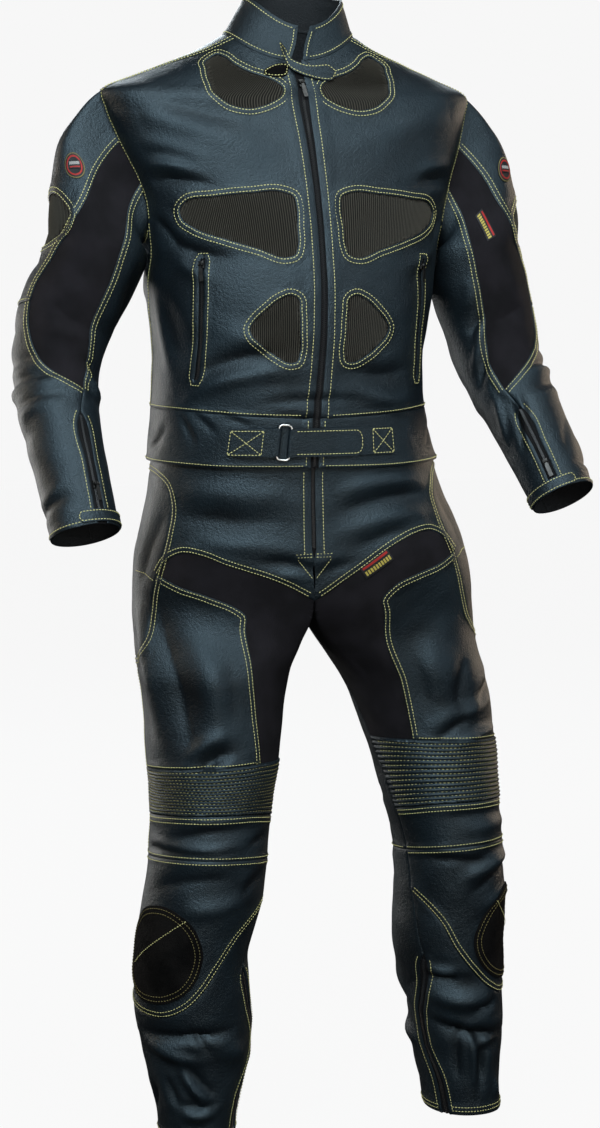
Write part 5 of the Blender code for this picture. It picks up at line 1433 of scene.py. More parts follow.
def node_group(name, inputs, outputs, build):
    """A shader node group with named sockets, made once."""
    if name in MADE:
        return MADE[name]
    group = bpy.data.node_groups.new(name, "ShaderNodeTree")
    for label, kind, value in inputs:
        socket(group, label, kind, value)
    for label, kind in outputs:
        socket(group, label, kind, into="OUTPUT")
    source, result = group.nodes.new("NodeGroupInput"), group.nodes.new("NodeGroupOutput")
    build(group, source, result)
    MADE[name] = group
    return group


def node(tree, kind, settings=None, **values):
    """A node with its settings, and its inputs set or linked by name."""
    made = tree.nodes.new(kind)
    for key, value in (settings or {}).items():
        setattr(made, key, value)
    for key, value in values.items():
        target = made.inputs[int(key[1:])] if key[0] == "_" else made.inputs[key.replace("_", " ")]
        if isinstance(value, bpy.types.NodeSocket):
            tree.links.new(value, target)
        else:
            target.default_value = value
    return made


def math_node(tree, operation, a, b=0.0):
    return node(tree, "ShaderNodeMath", {"operation": operation}, _0=a, _1=b).outputs[0]


def between(tree, value, low, high, out_low=0.0, out_high=1.0):
    """A value eased from one span to another."""
    spans = dict(From_Min=low, From_Max=high, To_Min=out_low, To_Max=out_high)
    settings = {"interpolation_type": "SMOOTHSTEP"}
    return node(tree, "ShaderNodeMapRange", settings, Value=value, **spans).outputs["Result"]


def mixed(tree, factor, a, b):
    made = tree.nodes.new("ShaderNodeMix")
    made.data_type = "RGBA"
    for index, value in ((0, factor), (6, a), (7, b)):
        if isinstance(value, bpy.types.NodeSocket):
            tree.links.new(value, made.inputs[index])
        else:
            made.inputs[index].default_value = value
    return made.outputs[2]


def grain(group, source, result):
    """Pebbled hide: cells with soft creases between them, slow changes of tone, and painted light from the
    cloth's height: a painted highlight where it stands high and painted shade where it lies low.
    """
    place = group.nodes.new("ShaderNodeTexCoord").outputs["Object"]
    scale = source.outputs["Scale"]
    smooth_cells = {"feature": "SMOOTH_F1"}
    cells = node(group, "ShaderNodeTexVoronoi", smooth_cells, Vector=place, Scale=scale, Smoothness=0.45)
    fine_scale = math_node(group, "MULTIPLY", scale, 2.3)
    fine = node(group, "ShaderNodeTexNoise", Vector=place, Scale=fine_scale, Detail=4.0)
    slow = node(group, "ShaderNodeTexNoise", Vector=place, Scale=14.0, Detail=5.0, Roughness=0.6)
    wide = node(group, "ShaderNodeTexNoise", Vector=place, Scale=4.0, Detail=2.0)
    crease = math_node(group, "POWER", cells.outputs["Distance"], 1.6)
    pebbles = math_node(group, "SUBTRACT", math_node(group, "MULTIPLY", fine.outputs["Fac"], 0.35), crease)
    coarse_scale = math_node(group, "MULTIPLY", scale, 0.3)
    coarse = node(group, "ShaderNodeTexNoise", Vector=place, Scale=coarse_scale, Detail=3.0, Roughness=0.65)
    pebbles = math_node(group, "ADD", pebbles, math_node(group, "MULTIPLY", coarse.outputs["Fac"], 2.4))
    rumple = node(group, "ShaderNodeTexNoise", Vector=place, Scale=55.0, Detail=3.0, Distortion=0.6)
    ridge = math_node(group, "ABSOLUTE", math_node(group, "SUBTRACT", rumple.outputs["Fac"], 0.5))
    rumpled = math_node(group, "MULTIPLY", between(group, ridge, 0.0, 0.07), source.outputs["Rumple"])
    # Painted light: the height of folds, pleats, laps and rolled edges becomes a lighter tone on high places
    # (painted highlight) and a darker one in low places (painted shade).
    fold = group.nodes.new("ShaderNodeAttribute")
    fold.attribute_name = "fold"
    painted_fold_light = between(group, fold.outputs["Fac"], -4.5, 4.5)
    patch = between(group, slow.outputs["Fac"], 0.36, 0.66)
    painted_fold_light, patches = math_node(group, "MULTIPLY", painted_fold_light, 0.55), math_node(group, "MULTIPLY", patch, 0.45)
    worn = between(group, wide.outputs["Fac"], 0.35, 0.7)
    group.links.new(math_node(group, "ADD", pebbles, rumpled), result.inputs["Height"])
    group.links.new(math_node(group, "ADD", painted_fold_light, patches), result.inputs["Tone"])
    group.links.new(math_node(group, "MULTIPLY", worn, patch), result.inputs["Worn"])


def weave(group, source, result):
    """Threads over and under each other, along the cut of the cloth."""
    cut = group.nodes.new("ShaderNodeUVMap")
    cut.uv_map = "Cut"
    split = node(group, "ShaderNodeSeparateXYZ", Vector=cut.outputs["UV"])
    turns = math_node(group, "DIVIDE", 2 * math.pi, source.outputs["Pitch"])
    one = math_node(group, "SINE", math_node(group, "MULTIPLY", split.outputs["X"], turns))
    two = math_node(group, "SINE", math_node(group, "MULTIPLY", split.outputs["Y"], turns))
    threads = math_node(group, "MULTIPLY", one, two)
    place = group.nodes.new("ShaderNodeTexCoord").outputs["Object"]
    fluff = node(group, "ShaderNodeTexNoise", Vector=place, Scale=900.0, Detail=3.0)
    slow = node(group, "ShaderNodeTexNoise", Vector=place, Scale=22.0, Detail=4.0)
    height = math_node(group, "ADD", threads, math_node(group, "MULTIPLY", fluff.outputs["Fac"], 0.8))
    group.links.new(height, result.inputs["Height"])
    group.links.new(between(group, slow.outputs["Fac"], 0.3, 0.7), result.inputs["Tone"])


def group_node(tree, name, inputs, outputs, build, **values):
    made = tree.nodes.new("ShaderNodeGroup")
    made.node_tree = node_group(name, inputs, outputs, build)
    for key, value in values.items():
        made.inputs[key].default_value = value
    return made


# Groups: name, inputs with their values, outputs and what builds them
GRAIN = (
    "Hide grain",
    [("Scale", "Float", 900.0), ("Rumple", "Float", 0.5)],
    [("Height", "Float"), ("Tone", "Float"), ("Worn", "Float")],
    grain,
)
WEAVE = ("Cloth weave", [("Pitch", "Float", 0.0012)], [("Height", "Float"), ("Tone", "Float")], weave)


def shader(name, **values):
    """A material with only its Principled BSDF and output."""
    made = bpy.data.materials.new(name)
    made.use_nodes = True
    surface = made.node_tree.nodes["Principled BSDF"]
    for key, value in values.items():
        surface.inputs[key.replace("_", " ")].default_value = value
    return made, made.node_tree, surface


def bumped(tree, surface, height, strength, distance):
    bump = node(tree, "ShaderNodeBump", Height=height, Strength=strength, Distance=distance)
    tree.links.new(bump.outputs["Normal"], surface.inputs["Normal"])


SKY_TINT_ON_REFLECTIONS = (0.68, 0.89, 1.0, 1.0)  # painted reflection colour: the hide's reflections are tinted blue, standing in for bluish sky light


def hide_look(name, low, high, rough_low, rough_high, strength=0.45, scale=900.0, rumple=0.22):
    made, tree, surface = shader(name, Specular_IOR_Level=0.5, Specular_Tint=SKY_TINT_ON_REFLECTIONS)
    skin = group_node(tree, *GRAIN, Scale=scale, Rumple=rumple)
    # Painted light: the tone mixes low, painted shade in the cloth's low places, with high, a painted
    # highlight on its high places, together with random patches.
    colour = mixed(tree, skin.outputs["Tone"], low, high)
    tree.links.new(colour, surface.inputs["Base Color"])
    rough = between(tree, skin.outputs["Worn"], 0.0, 1.0, rough_low, rough_high)
    tree.links.new(rough, surface.inputs["Roughness"])
    bumped(tree, surface, skin.outputs["Height"], strength, 0.0008)
    return made


def cloth_look(name, low, high, roughness, pitch, strength, distance=0.0004, spec=0.3):
    made, tree, surface = shader(name, Roughness=roughness, Specular_IOR_Level=spec)
    cloth = group_node(tree, *WEAVE, Pitch=pitch)
    tree.links.new(mixed(tree, cloth.outputs["Tone"], low, high), surface.inputs["Base Color"])
    bumped(tree, surface, cloth.outputs["Height"], strength, distance)
    return made


def opaque(colour, share=1.0):
    return (colour[0] * share, colour[1] * share, colour[2] * share, 1.0)


def leather_look():
    colours = bpy.context.scene.race_suit_colours
    return hide_look("Black cowhide", opaque(colours.hide), opaque(colours.hide_lit_and_pale), 0.4, 0.56)


def collar_look():
    colours = bpy.context.scene.race_suit_colours
    return hide_look("Collar hide", opaque(colours.hide, 0.8), opaque(colours.hide_lit_and_pale, 0.8), 0.5, 0.62)


def flesh_look():
    low, high = (0.012, 0.011, 0.011, 1), (0.022, 0.02, 0.02, 1)
    return hide_look("Flesh side", low, high, 0.85, 0.95, 0.8, scale=1500.0)


def stretch_look():
    colour = bpy.context.scene.race_suit_colours.stretch
    return cloth_look("Stretch cloth", opaque(colour, 0.8), opaque(colour, 1.9), 0.85, 0.0013, 0.6, spec=0.2)


def ribs(group, source, result):
    """Ribs along the cut: 1 on a rib and 0 in the valley beside it, where the colour gets its painted shade.
    """
    cut = group.nodes.new("ShaderNodeUVMap")
    cut.uv_map = "Cut"
    split = node(group, "ShaderNodeSeparateXYZ", Vector=cut.outputs["UV"])
    turns = math_node(group, "DIVIDE", 2 * math.pi, source.outputs["Pitch"])
    wave = math_node(group, "COSINE", math_node(group, "MULTIPLY", split.outputs["X"], turns))
    knot_turns = math_node(group, "MULTIPLY", turns, 2.2)
    knots = math_node(group, "SINE", math_node(group, "MULTIPLY", split.outputs["Y"], knot_turns))
    group.links.new(between(group, wave, -0.6, 0.9), result.inputs["Rib"])
    group.links.new(math_node(group, "MULTIPLY", knots, wave), result.inputs["Height"])


RIBS = ("Ribs", [("Pitch", "Float", 0.0025)], [("Rib", "Float"), ("Height", "Float")], ribs)


def rib_look():
    made, tree, surface = shader("Ribbed cloth", Roughness=0.75, Specular_IOR_Level=0.2)
    colour = bpy.context.scene.race_suit_colours.rib
    knit = group_node(tree, *RIBS, Pitch=bpy.context.scene.race_suit_cloth.rib_pitch)
    # Painted shade: the valleys between the ribs are painted at 8 per cent of the ribs' colour.
    shade = mixed(tree, knit.outputs["Rib"], opaque(colour, 0.08), opaque(colour, 1.0))
    tree.links.new(shade, surface.inputs["Base Color"])
    bumped(tree, surface, knit.outputs["Height"], 0.4, 0.0004)
    return made


# Plain cloths: name, two colours that the cloth varies between in slow patches, roughness, pitch of the
# threads, strength and depth of their relief, and how much they reflect
PLAIN = {
    "pile": (
        "Looped pile", (0.0012, 0.0012, 0.0012, 1), (0.006, 0.0056, 0.0052, 1),
        0.95, 0.0021, 1.0, 0.0012, 0.08,
    ),
    "tape": ("Zip tape", (0.0024, 0.0025, 0.003, 1), (0.005, 0.0052, 0.006, 1), 0.8, 0.001, 0.4, 0.0004, 0.2),
    "bars": ("Label bars", (0.34, 0.27, 0.05, 1), (0.46, 0.38, 0.08, 1), 0.6, 0.0008, 0.3),
    "dull thread": ("Dull thread", (0.10, 0.085, 0.03, 1), (0.17, 0.14, 0.05, 1), 0.7, 0.002, 0.2),
    "label": ("Label", (0.008, 0.008, 0.009, 1), (0.014, 0.014, 0.016, 1), 0.6, 0.0008, 0.3),
    "red": ("Red thread", (0.22, 0.010, 0.008, 1), (0.34, 0.016, 0.012, 1), 0.6, 0.0008, 0.3),
    "pale": ("Pale thread", (0.30, 0.29, 0.28, 1), (0.48, 0.47, 0.45, 1), 0.6, 0.0008, 0.3),
}


def teeth_look():
    made, tree, surface = shader("Zip teeth", Metallic=0.0, Roughness=0.38)
    tone = node(tree, "ShaderNodeTexNoise", Scale=60.0, Detail=2.0)
    colour = mixed(tree, tone.outputs["Fac"], (0.004, 0.0044, 0.005, 1), (0.010, 0.011, 0.012, 1))
    tree.links.new(colour, surface.inputs["Base Color"])
    return made


def metal_look(name="Satin nickel", share=1.0, smooth=0.2, rough=0.36):
    made, tree, surface = shader(name, Metallic=1.0)
    colour = [part * share for part in bpy.context.scene.race_suit_colours.metal]
    place = tree.nodes.new("ShaderNodeTexCoord").outputs["Object"]
    tone = node(tree, "ShaderNodeTexNoise", Vector=place, Scale=240.0, Detail=5.0)
    shade = mixed(tree, tone.outputs["Fac"], opaque(colour, 0.8), opaque(colour, 1.05))
    tree.links.new(shade, surface.inputs["Base Color"])
    tree.links.new(between(tree, tone.outputs["Fac"], 0.3, 0.7, smooth, rough), surface.inputs["Roughness"])
    bumped(tree, surface, tone.outputs["Fac"], 0.1, 0.0003)
    return made


def thread_look():
    made, tree, surface = shader("Sewing thread", Roughness=0.55, Specular_IOR_Level=0.4)
    colour = bpy.context.scene.race_suit_thread.colour
    place = tree.nodes.new("ShaderNodeTexCoord").outputs["Object"]
    tone = node(tree, "ShaderNodeTexNoise", Vector=place, Scale=180.0, Detail=2.0)
    shade = mixed(tree, tone.outputs["Fac"], opaque(colour, 0.75), opaque(colour, 1.15))
    tree.links.new(shade, surface.inputs["Base Color"])
    return made


def once(name, build):
    """A look that is made when a piece first asks for it."""

    def get():
        if name not in MADE:
            MADE[name] = build()
        return MADE[name]

    return get


BUILDS = {
    "leather": leather_look,
    "collar": collar_look,
    "flesh": flesh_look,
    "stretch": stretch_look,
    "rib": rib_look,
    "teeth": teeth_look,
    "metal": metal_look,
    "dark metal": partial(metal_look, "Dark plated metal", 0.07, 0.38, 0.5),
    "thread": thread_look,
} | {name: partial(cloth_look, *values) for name, values in PLAIN.items()}
LOOKS = {name: once(name, build) for name, build in BUILDS.items()}




# ---------------------------------------------------------------- the pieces, group by group
FLY_FOLD = -54.2  # leg angle at which the fly's two folds meet
COLLAR_LOW = -1.5  # the collar reaches this far under the neck seam
# Short rows of stitches that hold the fly's lower end: leg angle and level of their ends
FLY_TACKS = (
    ((-54.4, -629), (-46.8, -629)),
    ((-54.4, -633), (-47.6, -633)),
    ((-47.8, -635), (-54.4, -661)),
)


def make_jacket():
    for side, tag in SIDES:
        surface, thread = BODY_SIDE[side], f"jacket_stitches_{tag}"
        armhole = [HOLE_ON_BODY[part][::-1] for part in ("front_low", "front_mid", "front_high")]
        outline = chain(ZIP_EDGE, WAIST_FRONT, SIDE[::-1], *armhole, SHOULDER[::-1], NECK_FRONT[::-1])
        vents = {name: sampled(rows, BODY_SIZE, 4, True) for name, rows in VENTS.items()}
        (au, av), (bu, bv) = POCKET_TOP, POCKET_LOW
        slit = POCKET_SLIT / 2.9
        ends = ((au - slit, av), (bu - slit, bv)), ((bu + slit, bv), (au + slit, av))
        pocket = np.vstack([sampled(pair, BODY_SIZE) for pair in ends])
        high, mid, low = (HOLE_ON_BODY[part] for part in ("front_high", "front_mid", "front_low"))
        hole_side = np.vstack([high, mid[1:], low[1:]])
        rows = [
            (ZIP_EDGE[4:], (9.5,)),
            (WAIST_FRONT[4:], (3.4,)),
            (SHOULDER, (2.2, 8.5)),
            (hole_side[2:-2], (2.8,)),
            (SIDE, (3.0,)),
        ]
        holes = [(loop, (2.2, 7.6)) for loop in vents.values()] + [(pocket, (7.0,))]
        make_panel(f"jacket_front_{tag}", surface, outline, rows, holes, thread)
        for name, loop in vents.items():
            make_vent(f"{name}_{tag}", surface, loop)
        wide = np.array([(au - 2.2, av + 5), (bu - 2.2, bv - 5), (bu + 2.2, bv - 5), (au + 2.2, av + 5)])
        strip = np.vstack([sampled(wide[[k, (k + 1) % 4]], BODY_SIZE)[:-1] for k in range(4)])
        run = sampled([POCKET_TOP, POCKET_LOW], BODY_SIZE)
        make_zip(f"pocket_zip_{tag}", surface, strip, run, drop=2.3)
        make_slider(f"pocket_slider_{tag}", surface, 47.8, -270)
    hole_low, hole_high = HOLE_ON_BODY["back_low"], HOLE_ON_BODY["back_high"]
    far = [round_the_back(run) for run in (NECK_BACK, SHOULDER, hole_high, hole_low, SIDE, WAIST_BACK)]
    back = chain(
        NECK_BACK, far[0][::-1], far[1], far[2][::-1], far[3][::-1], far[4], far[5],
        WAIST_BACK[::-1], SIDE[::-1], hole_low, hole_high, SHOULDER[::-1],
    )
    low = np.vstack([WAIST_BACK, far[5][::-1][1:]])
    hole_side = np.vstack([hole_low, hole_high[1:]])
    rows = [(low[2:-2], (3.4,)), (hole_side[3:-3], (2.8,)), (round_the_back(hole_side)[3:-3], (2.8,))]
    make_panel("jacket_back", BODY_ROUND, back, rows, thread="jacket_stitches_back")
    far = [round_the_back(run) for run in (WAIST_BACK, WAIST_FRONT, ZIP_LOW, BAND_LOW)]
    ends = far[0][::-1], far[1][::-1], far[2], far[3]
    band = chain(WAIST_FRONT, WAIST_BACK, *ends, BAND_LOW[::-1], ZIP_LOW[::-1])
    around = np.vstack([BAND_LOW, far[3][::-1][1:]])
    rows = [(around[1:-1], (3.2,)), (ZIP_LOW[1:-1], (6.0,)), (far[2][1:-1], (6.0,))]
    make_panel("waistband", BODY_ROUND, band, rows, thread="waistband_stitches")


def make_jacket_zip():
    teeth = chain(
        ZIP_EDGE,
        ZIP_LOW,
        np.array([(1.1, BAND_BOTTOM), (-1.1, BAND_BOTTOM)]),
        (ZIP_LOW * OTHER)[::-1],
        (ZIP_EDGE * OTHER)[::-1],
        np.array([(-2.8, NECK), (2.8, NECK)]),
    )
    run = sampled([(0, NECK - 64), (0, BAND_BOTTOM + 2)], BODY_SIZE)
    make_zip("jacket_zip", BODY_ROUND, teeth, run)
    make_slider("jacket_slider", BODY_ROUND, 0, 6)


def make_collar():
    start = 4.0
    low = np.array([(start, COLLAR_LOW)] + [(a, COLLAR_LOW) for a, _ in NECK_FRONT if a > start + 4])
    low = np.vstack([low, [(a, COLLAR_LOW) for a, _ in NECK_BACK[1:]]])
    low = np.vstack([low, round_the_back(low)[::-1][1:]])
    high = np.array([(start + 3, COLLAR_HEIGHT), (357 - start, COLLAR_HEIGHT)])
    top = sampled(high, COLLAR.size)[::-1]
    end = sampled([(start + 3, COLLAR_HEIGHT), (start, 24), (start, COLLAR_LOW)], COLLAR.size)
    corners = [(360 - start, COLLAR_LOW), (360 - start, 24), (357 - start, COLLAR_HEIGHT)]
    other_end = sampled(corners, COLLAR.size)
    outline = chain(low, other_end, top, end)
    cloth = bpy.context.scene.race_suit_cloth
    rows = [(top[2:-2], (4.5,)), (low[2:-2], (4.0,)), (end[2:-2], (4.5,)), (other_end[2:-2], (4.5,))]
    looks = ("collar", "flesh")
    make_panel("collar", COLLAR, outline, rows, (), "collar_stitches", cloth.collar / MM, looks, step=4.0)


def under_edges(one, other, by):
    """A zip tape's outline, which reaches under the leather on both sides by an angle."""
    out = np.array([math.copysign(by, one[-1, 0] - other[-1, 0]), 0])
    return np.vstack([one + out, (other - out)[::-1]])


def make_stretch(name, surface, outline):
    """A panel of stretch cloth, a little lower than the leather round it."""
    wall = bpy.context.scene.race_suit_cloth.stretch / MM
    looks = ("stretch", "flesh")
    make_panel(name, surface, outline, wall=wall, looks=looks, drop=0.5)


def make_sleeves():
    for side, tag in SIDES:
        cloth, thread = SLEEVE[side], f"sleeve_stitches_{tag}"
        hole_back = shifted(HOLE["back_high"], -360)
        upper = chain(hole_back, HOLE["front_high"], STRETCH_OUT, ELBOW[::-1], ARM_BACK_HIGH[::-1])
        vent = sampled(SLEEVE_VENT, ARM_SIZE, 4, True)
        rows = [(STRETCH_OUT, (2.2, 7.8)), (ELBOW, (2.6,))]
        make_panel(f"sleeve_upper_{tag}", cloth, upper, rows, [(vent, (2.2, 7.6))], thread=thread)
        make_vent(f"sleeve_vent_{tag}", cloth, vent)
        stretch = chain(HOLE["front_mid"], STRETCH_IN, STRETCH_OUT_LOW[::-1], STRETCH_OUT[::-1])
        make_stretch(f"sleeve_stretch_{tag}", cloth, stretch)
        under = chain(
            HOLE["front_low"], HOLE["back_low"], shifted(ARM_BACK_HIGH, 360), shifted(ARM_BACK_LOW, 360),
            CUFF_UNDER[::-1], CUFF_ZIP_IN[::-1], FOREARM_IN[::-1], STRETCH_IN[::-1],
        )
        rows = [(STRETCH_IN, (2.2, 7.6)), (CUFF_ZIP_IN[3:-1], (5.6,)), (CUFF_UNDER[2:-1], (4.0,))]
        make_panel(f"sleeve_under_{tag}", cloth, under, rows, thread=thread)
        ends = CUFF_OUTER[::-1], ARM_BACK_LOW[::-1]
        forearm = chain(ELBOW, STRETCH_OUT_LOW, FOREARM_IN, CUFF_ZIP_OUT, *ends)
        rows = [(STRETCH_OUT_LOW, (2.2, 7.6)), (CUFF_ZIP_OUT[1:-1], (5.6,)), (CUFF_OUTER[1:-2], (4.0,))]
        make_panel(f"sleeve_forearm_{tag}", cloth, forearm, rows, thread=thread)
        tape = under_edges(CUFF_ZIP_OUT, CUFF_ZIP_IN, 2.6)
        make_zip(f"cuff_zip_{tag}", cloth, tape, arm_seam((113, 392), (113, CUFF - 2)))
        make_slider(f"cuff_slider_{tag}", cloth, 113, 476)


def level_on(run, angle):
    """The level at which a run crosses an angle."""
    order = np.argsort(run[:, 0])
    return np.interp(angle, run[order, 0], run[order, 1])


def pleat_share(uv):
    """0 at the knee's top seam and 1 at its lower one."""
    top = level_on(np.vstack([KNEE_TOP_IN[:-1], KNEE_TOP]), uv[:, 0])
    low = level_on(KNEE_LOW, uv[:, 0])
    return (top - uv[:, 1]) / (top - low)


def pleats(panel):
    """Rounded pleats with a narrow valley at each line of stitches, flatter towards the sides."""
    count = bpy.context.scene.race_suit_cloth.pleats
    share = pleat_share(panel.uv) * count
    side = 1 - 0.35 * ease((np.abs(panel.uv[:, 0] - 10) - 40) / 50)
    loose = 0.2 * np.sin(0.11 * panel.uv[:, 0] + 2.1 * np.floor(share))
    return (PLEAT + loose) * side * np.sqrt(np.abs(np.sin(np.pi * share)) + 0.02) - 0.8


KNEE_STEP = 0.9


def knee_seeds():
    """Rows of points that lie closer down the knee than across it, for its pleats."""
    across, down = np.meshgrid(np.arange(-86, 100, 4.0), np.arange(-1000, -880, 0.85))
    return np.stack([across.ravel(), down.ravel()], -1)


def make_knee(tag, cloth, thread):
    outline = chain(KNEE_TOP_IN, KNEE_TOP, OUTER_KNEE, KNEE_LOW[::-1], INSEAM_KNEE[::-1])
    uv, kept = mesh_panel(cloth, outline, [], KNEE_STEP, knee_seeds())
    panel = Panel(cloth, uv, kept[0])
    panel.height += pleats(panel)
    sewn(f"knee_accordion_{tag}", panel, 1.4, ("leather", "flesh"))
    count = bpy.context.scene.race_suit_cloth.pleats
    for k in range(1, count):
        angles = np.linspace(-76 + (k % 3), 92 - (k % 4), 60)
        top = level_on(np.vstack([KNEE_TOP_IN[:-1], KNEE_TOP]), angles)
        low = level_on(KNEE_LOW, angles)
        stitch(thread, cloth, np.stack([angles, top + (low - top) * k / count], -1), lift=0.85, pitch=5.4)


def make_legs():
    fly_edge = leg_seam((FLY_FOLD, TROUSER_TOP), (FLY_FOLD, -624))
    fly_end = leg_seam((FLY_FOLD, -624), (FRONT_RISE, -636))
    top = leg_seam((FLY_FOLD, TROUSER_TOP), (112, TROUSER_TOP))
    fly_row = np.vstack([fly_edge[10:], leg_seam((FLY_FOLD, -624), (FLY_FOLD, -629))[1:]])
    for side, tag in SIDES:
        cloth, thread, low_thread = TROUSER[side], f"thigh_stitches_{tag}", f"shin_stitches_{tag}"
        hip = chain(top, OUTER_TOP, LOOP_HIGH, HIP_CURVE, CENTRE_FRONT[::-1], fly_end[::-1], fly_edge[::-1])
        rows = [(LOOP_HIGH, (2.2, 7.4)), (HIP_CURVE[:-2], (2.2, 7.4)), (fly_row, (10.5,))]
        make_panel(f"hip_front_{tag}", cloth, hip, rows, thread=thread)
        make_panel(f"hip_side_{tag}", cloth, chain(LOOP_HIGH, LOOP_LOW, OUTER_HIP[::-1]), thread=thread)
        stitch(thread, cloth, leg_seam((75, -641), (58, -644), (46, -651)), lift=0.35)
        stretch = chain(HIP_CURVE, RISE_FRONT, INSEAM, KNEE_TOP_IN, THIGH_EDGE[::-1])
        make_stretch(f"thigh_stretch_{tag}", cloth, stretch)
        thigh = chain(LOOP_LOW, OUTER_THIGH, KNEE_TOP[::-1], THIGH_EDGE[::-1])
        rows = [(LOOP_LOW, (2.2, 7.4)), (THIGH_EDGE, (2.2, 7.4)), (KNEE_TOP[1:], (2.8,))]
        make_panel(f"thigh_leather_{tag}", cloth, thigh, rows, thread=thread)
        inner = [shifted(run, 360) for run in (INSEAM, INSEAM_KNEE, INSEAM_BAND)]
        outer = [run[::-1] for run in (OUTER_BAND, OUTER_KNEE, OUTER_THIGH, OUTER_HIP, OUTER_TOP)]
        back = chain(TOP_BACK, CENTRE_BACK, RISE_BACK, *inner, KNEE_BACK[::-1], *outer)
        outer = np.vstack([OUTER_HIP, OUTER_THIGH[1:], OUTER_KNEE[1:], OUTER_BAND[1:]])
        rows = [(outer[2:-1], (3.0,)), (CENTRE_BACK[8:-3], (3.0,)), (KNEE_BACK[2:-2], (3.0,))]
        make_panel(f"trouser_back_{tag}", cloth, back, rows, thread=thread)
        make_knee(tag, cloth, thread)
        band = chain(KNEE_LOW, OUTER_BAND, BAND_LINE[::-1], INSEAM_BAND[::-1])
        rows = [(KNEE_LOW[1:-1], (3.0, 8.6)), (BAND_LINE[1:-1], (4.0,))]
        make_panel(f"knee_band_{tag}", cloth, band, rows, thread=low_thread)
        shin = chain(BAND_LINE, OUTER_SHIN, SHIN_LINE[::-1], INSEAM_SHIN[::-1])
        rows = [(BAND_LINE[1:-1], (4.0,)), (SHIN_LINE[1:-1], (2.4, 7.8))]
        make_panel(f"shin_{tag}", cloth, shin, rows, thread=low_thread)
        around, pile_thread = sampled(SLIDER, LEG_SIZE, 3.0, True), f"patch_stitches_{tag}"
        patch = make_patch(f"slider_patch_{tag}_cloth", cloth, around, 2.0, pile_thread, 4.0, 0.16)
        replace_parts(patch, f"slider_patch_{tag}")
        loop_stitch(pile_thread, cloth, around, 1, 10.0, 2.6)
        stitch(low_thread, cloth, leg_seam((19, -1097), (76, -1165)), lift=2.9)
        inner = [shifted(run, 360) for run in (INSEAM_SHIN, CALF_IN, ANKLE_ZIP_BACK)]
        front = [run[::-1] for run in (HEM_ROUND, ANKLE_ZIP_FRONT, CALF_IN)]
        calf = chain(KNEE_BACK, *inner, *front, SHIN_LINE, OUTER_SHIN[::-1])
        hem_rows = (6.0,) if side == RIGHT else (6.0, 11.5)
        rows = [(ANKLE_ZIP_FRONT[3:-2], (5.6,)), (inner[2][3:-2], (5.6,)), (HEM_ROUND[2:-2], hem_rows)]
        make_panel(f"calf_{tag}", cloth, calf, rows, thread=low_thread)
        gap = under_edges(ANKLE_ZIP_FRONT, ANKLE_ZIP_BACK, 2.0)
        front = ANKLE_ZIP_FRONT[3:]
        across = np.interp(front[:, 1], ANKLE_ZIP_BACK[::-1, 1], ANKLE_ZIP_BACK[::-1, 0])
        make_zip(f"ankle_zip_{tag}", cloth, gap, (front + np.stack([across, front[:, 1]], -1)) / 2)
    scale = 180 / (BACK_RISE - FRONT_RISE)
    edge = np.stack([(FLY_EDGE[:, 0] - FRONT_RISE) * scale, FLY_EDGE[:, 1]], -1)
    end = np.stack([(FLY_END[:, 0] - FRONT_RISE) * scale, FLY_END[:, 1]], -1)
    fly = chain(edge, end, (end * OTHER)[::-1], (edge * OTHER)[::-1], np.array([edge[0] * OTHER, edge[0]]))
    make_zip("fly_zip", WAIST_ROUND, fly, sampled([(0, TROUSER_TOP - 4), (0, -622)], BODY_SIZE), drop=2.6)
    for side, tag in SIDES:
        for ends in FLY_TACKS:
            stitch(f"thigh_stitches_{tag}", TROUSER[side], sampled(ends, LEG_SIZE), lift=0.6)


def make_badges():
    for side, tag in SIDES:
        u, v = (40, 63) if side == RIGHT else (32, 64)
        make_badge(f"sleeve_badge_{tag}", SLEEVE[side], u, v, 17.0, 14.0, -38)
        make_label(f"badge_bars_{tag}", SLEEVE[side], u, v - 1, -38, 19.0, 9.0, 1.6, ("label", "red", "pale"))
    make_label("sleeve_label", SLEEVE[LEFT], 84, 92, 102, 42.0, 14.0)
    make_label("thigh_label", TROUSER[LEFT], -23, -650, 28, 44.0, 17.0)


# A stitch's rings of four points: place along it, thickness and height, as shares of its size
STITCH_RINGS = ((-1.0, 0.35, -0.5), (-0.45, 1.0, 0.1), (0.45, 1.0, 0.1), (1.0, 0.35, -0.5))


def make_stitches():
    """Joins all the stitches of one part of the suit into one mesh."""
    settings = bpy.context.scene.race_suit_thread
    half, radius = settings.stitch / MM / 2, settings.radius / MM
    quads = [(r + k, r + (k + 1) % 4, r + 4 + (k + 1) % 4, r + 4 + k) for r in (0, 4, 8) for k in range(4)]
    quads += [(3, 2, 1, 0), (12, 13, 14, 15)]
    for name, rows in STITCHES.items():
        rows = np.vstack(rows)
        p, way, out = rows[:, 0], rows[:, 1], rows[:, 2]
        side = np.cross(way, out)
        rings = []
        for along, thick, high in STITCH_RINGS:
            for a in np.arange(4.0) * math.pi / 2:
                middle = p + way * along * half + side * radius * thick * math.cos(a)
                rings.append(middle + out * radius * (thick * math.sin(a) + high))
        points = np.stack(rings, 1).reshape(-1, 3)
        faces = (np.arange(len(p))[:, None, None] * 16 + np.array(quads)[None]).reshape(-1, 4)
        look = "dull thread" if name.startswith("patch") else "thread"
        piece(name, points, faces, (look,), smooth_angle=80)


# ---------------------------------------------------------------- stage
CAMERA_AT, CAMERA_TO = Vector((-0.9195, -3.2468, -0.2996)), Vector((0.0125, 0.0036, -0.655))
FLOOR_LEVEL = -1.468


def aimed(obj, at, to):
    obj.location = at
    obj.rotation_euler = (Vector(to) - Vector(at)).to_track_quat("-Z", "Y").to_euler()
    bpy.context.scene.collection.objects.link(obj)
    return obj


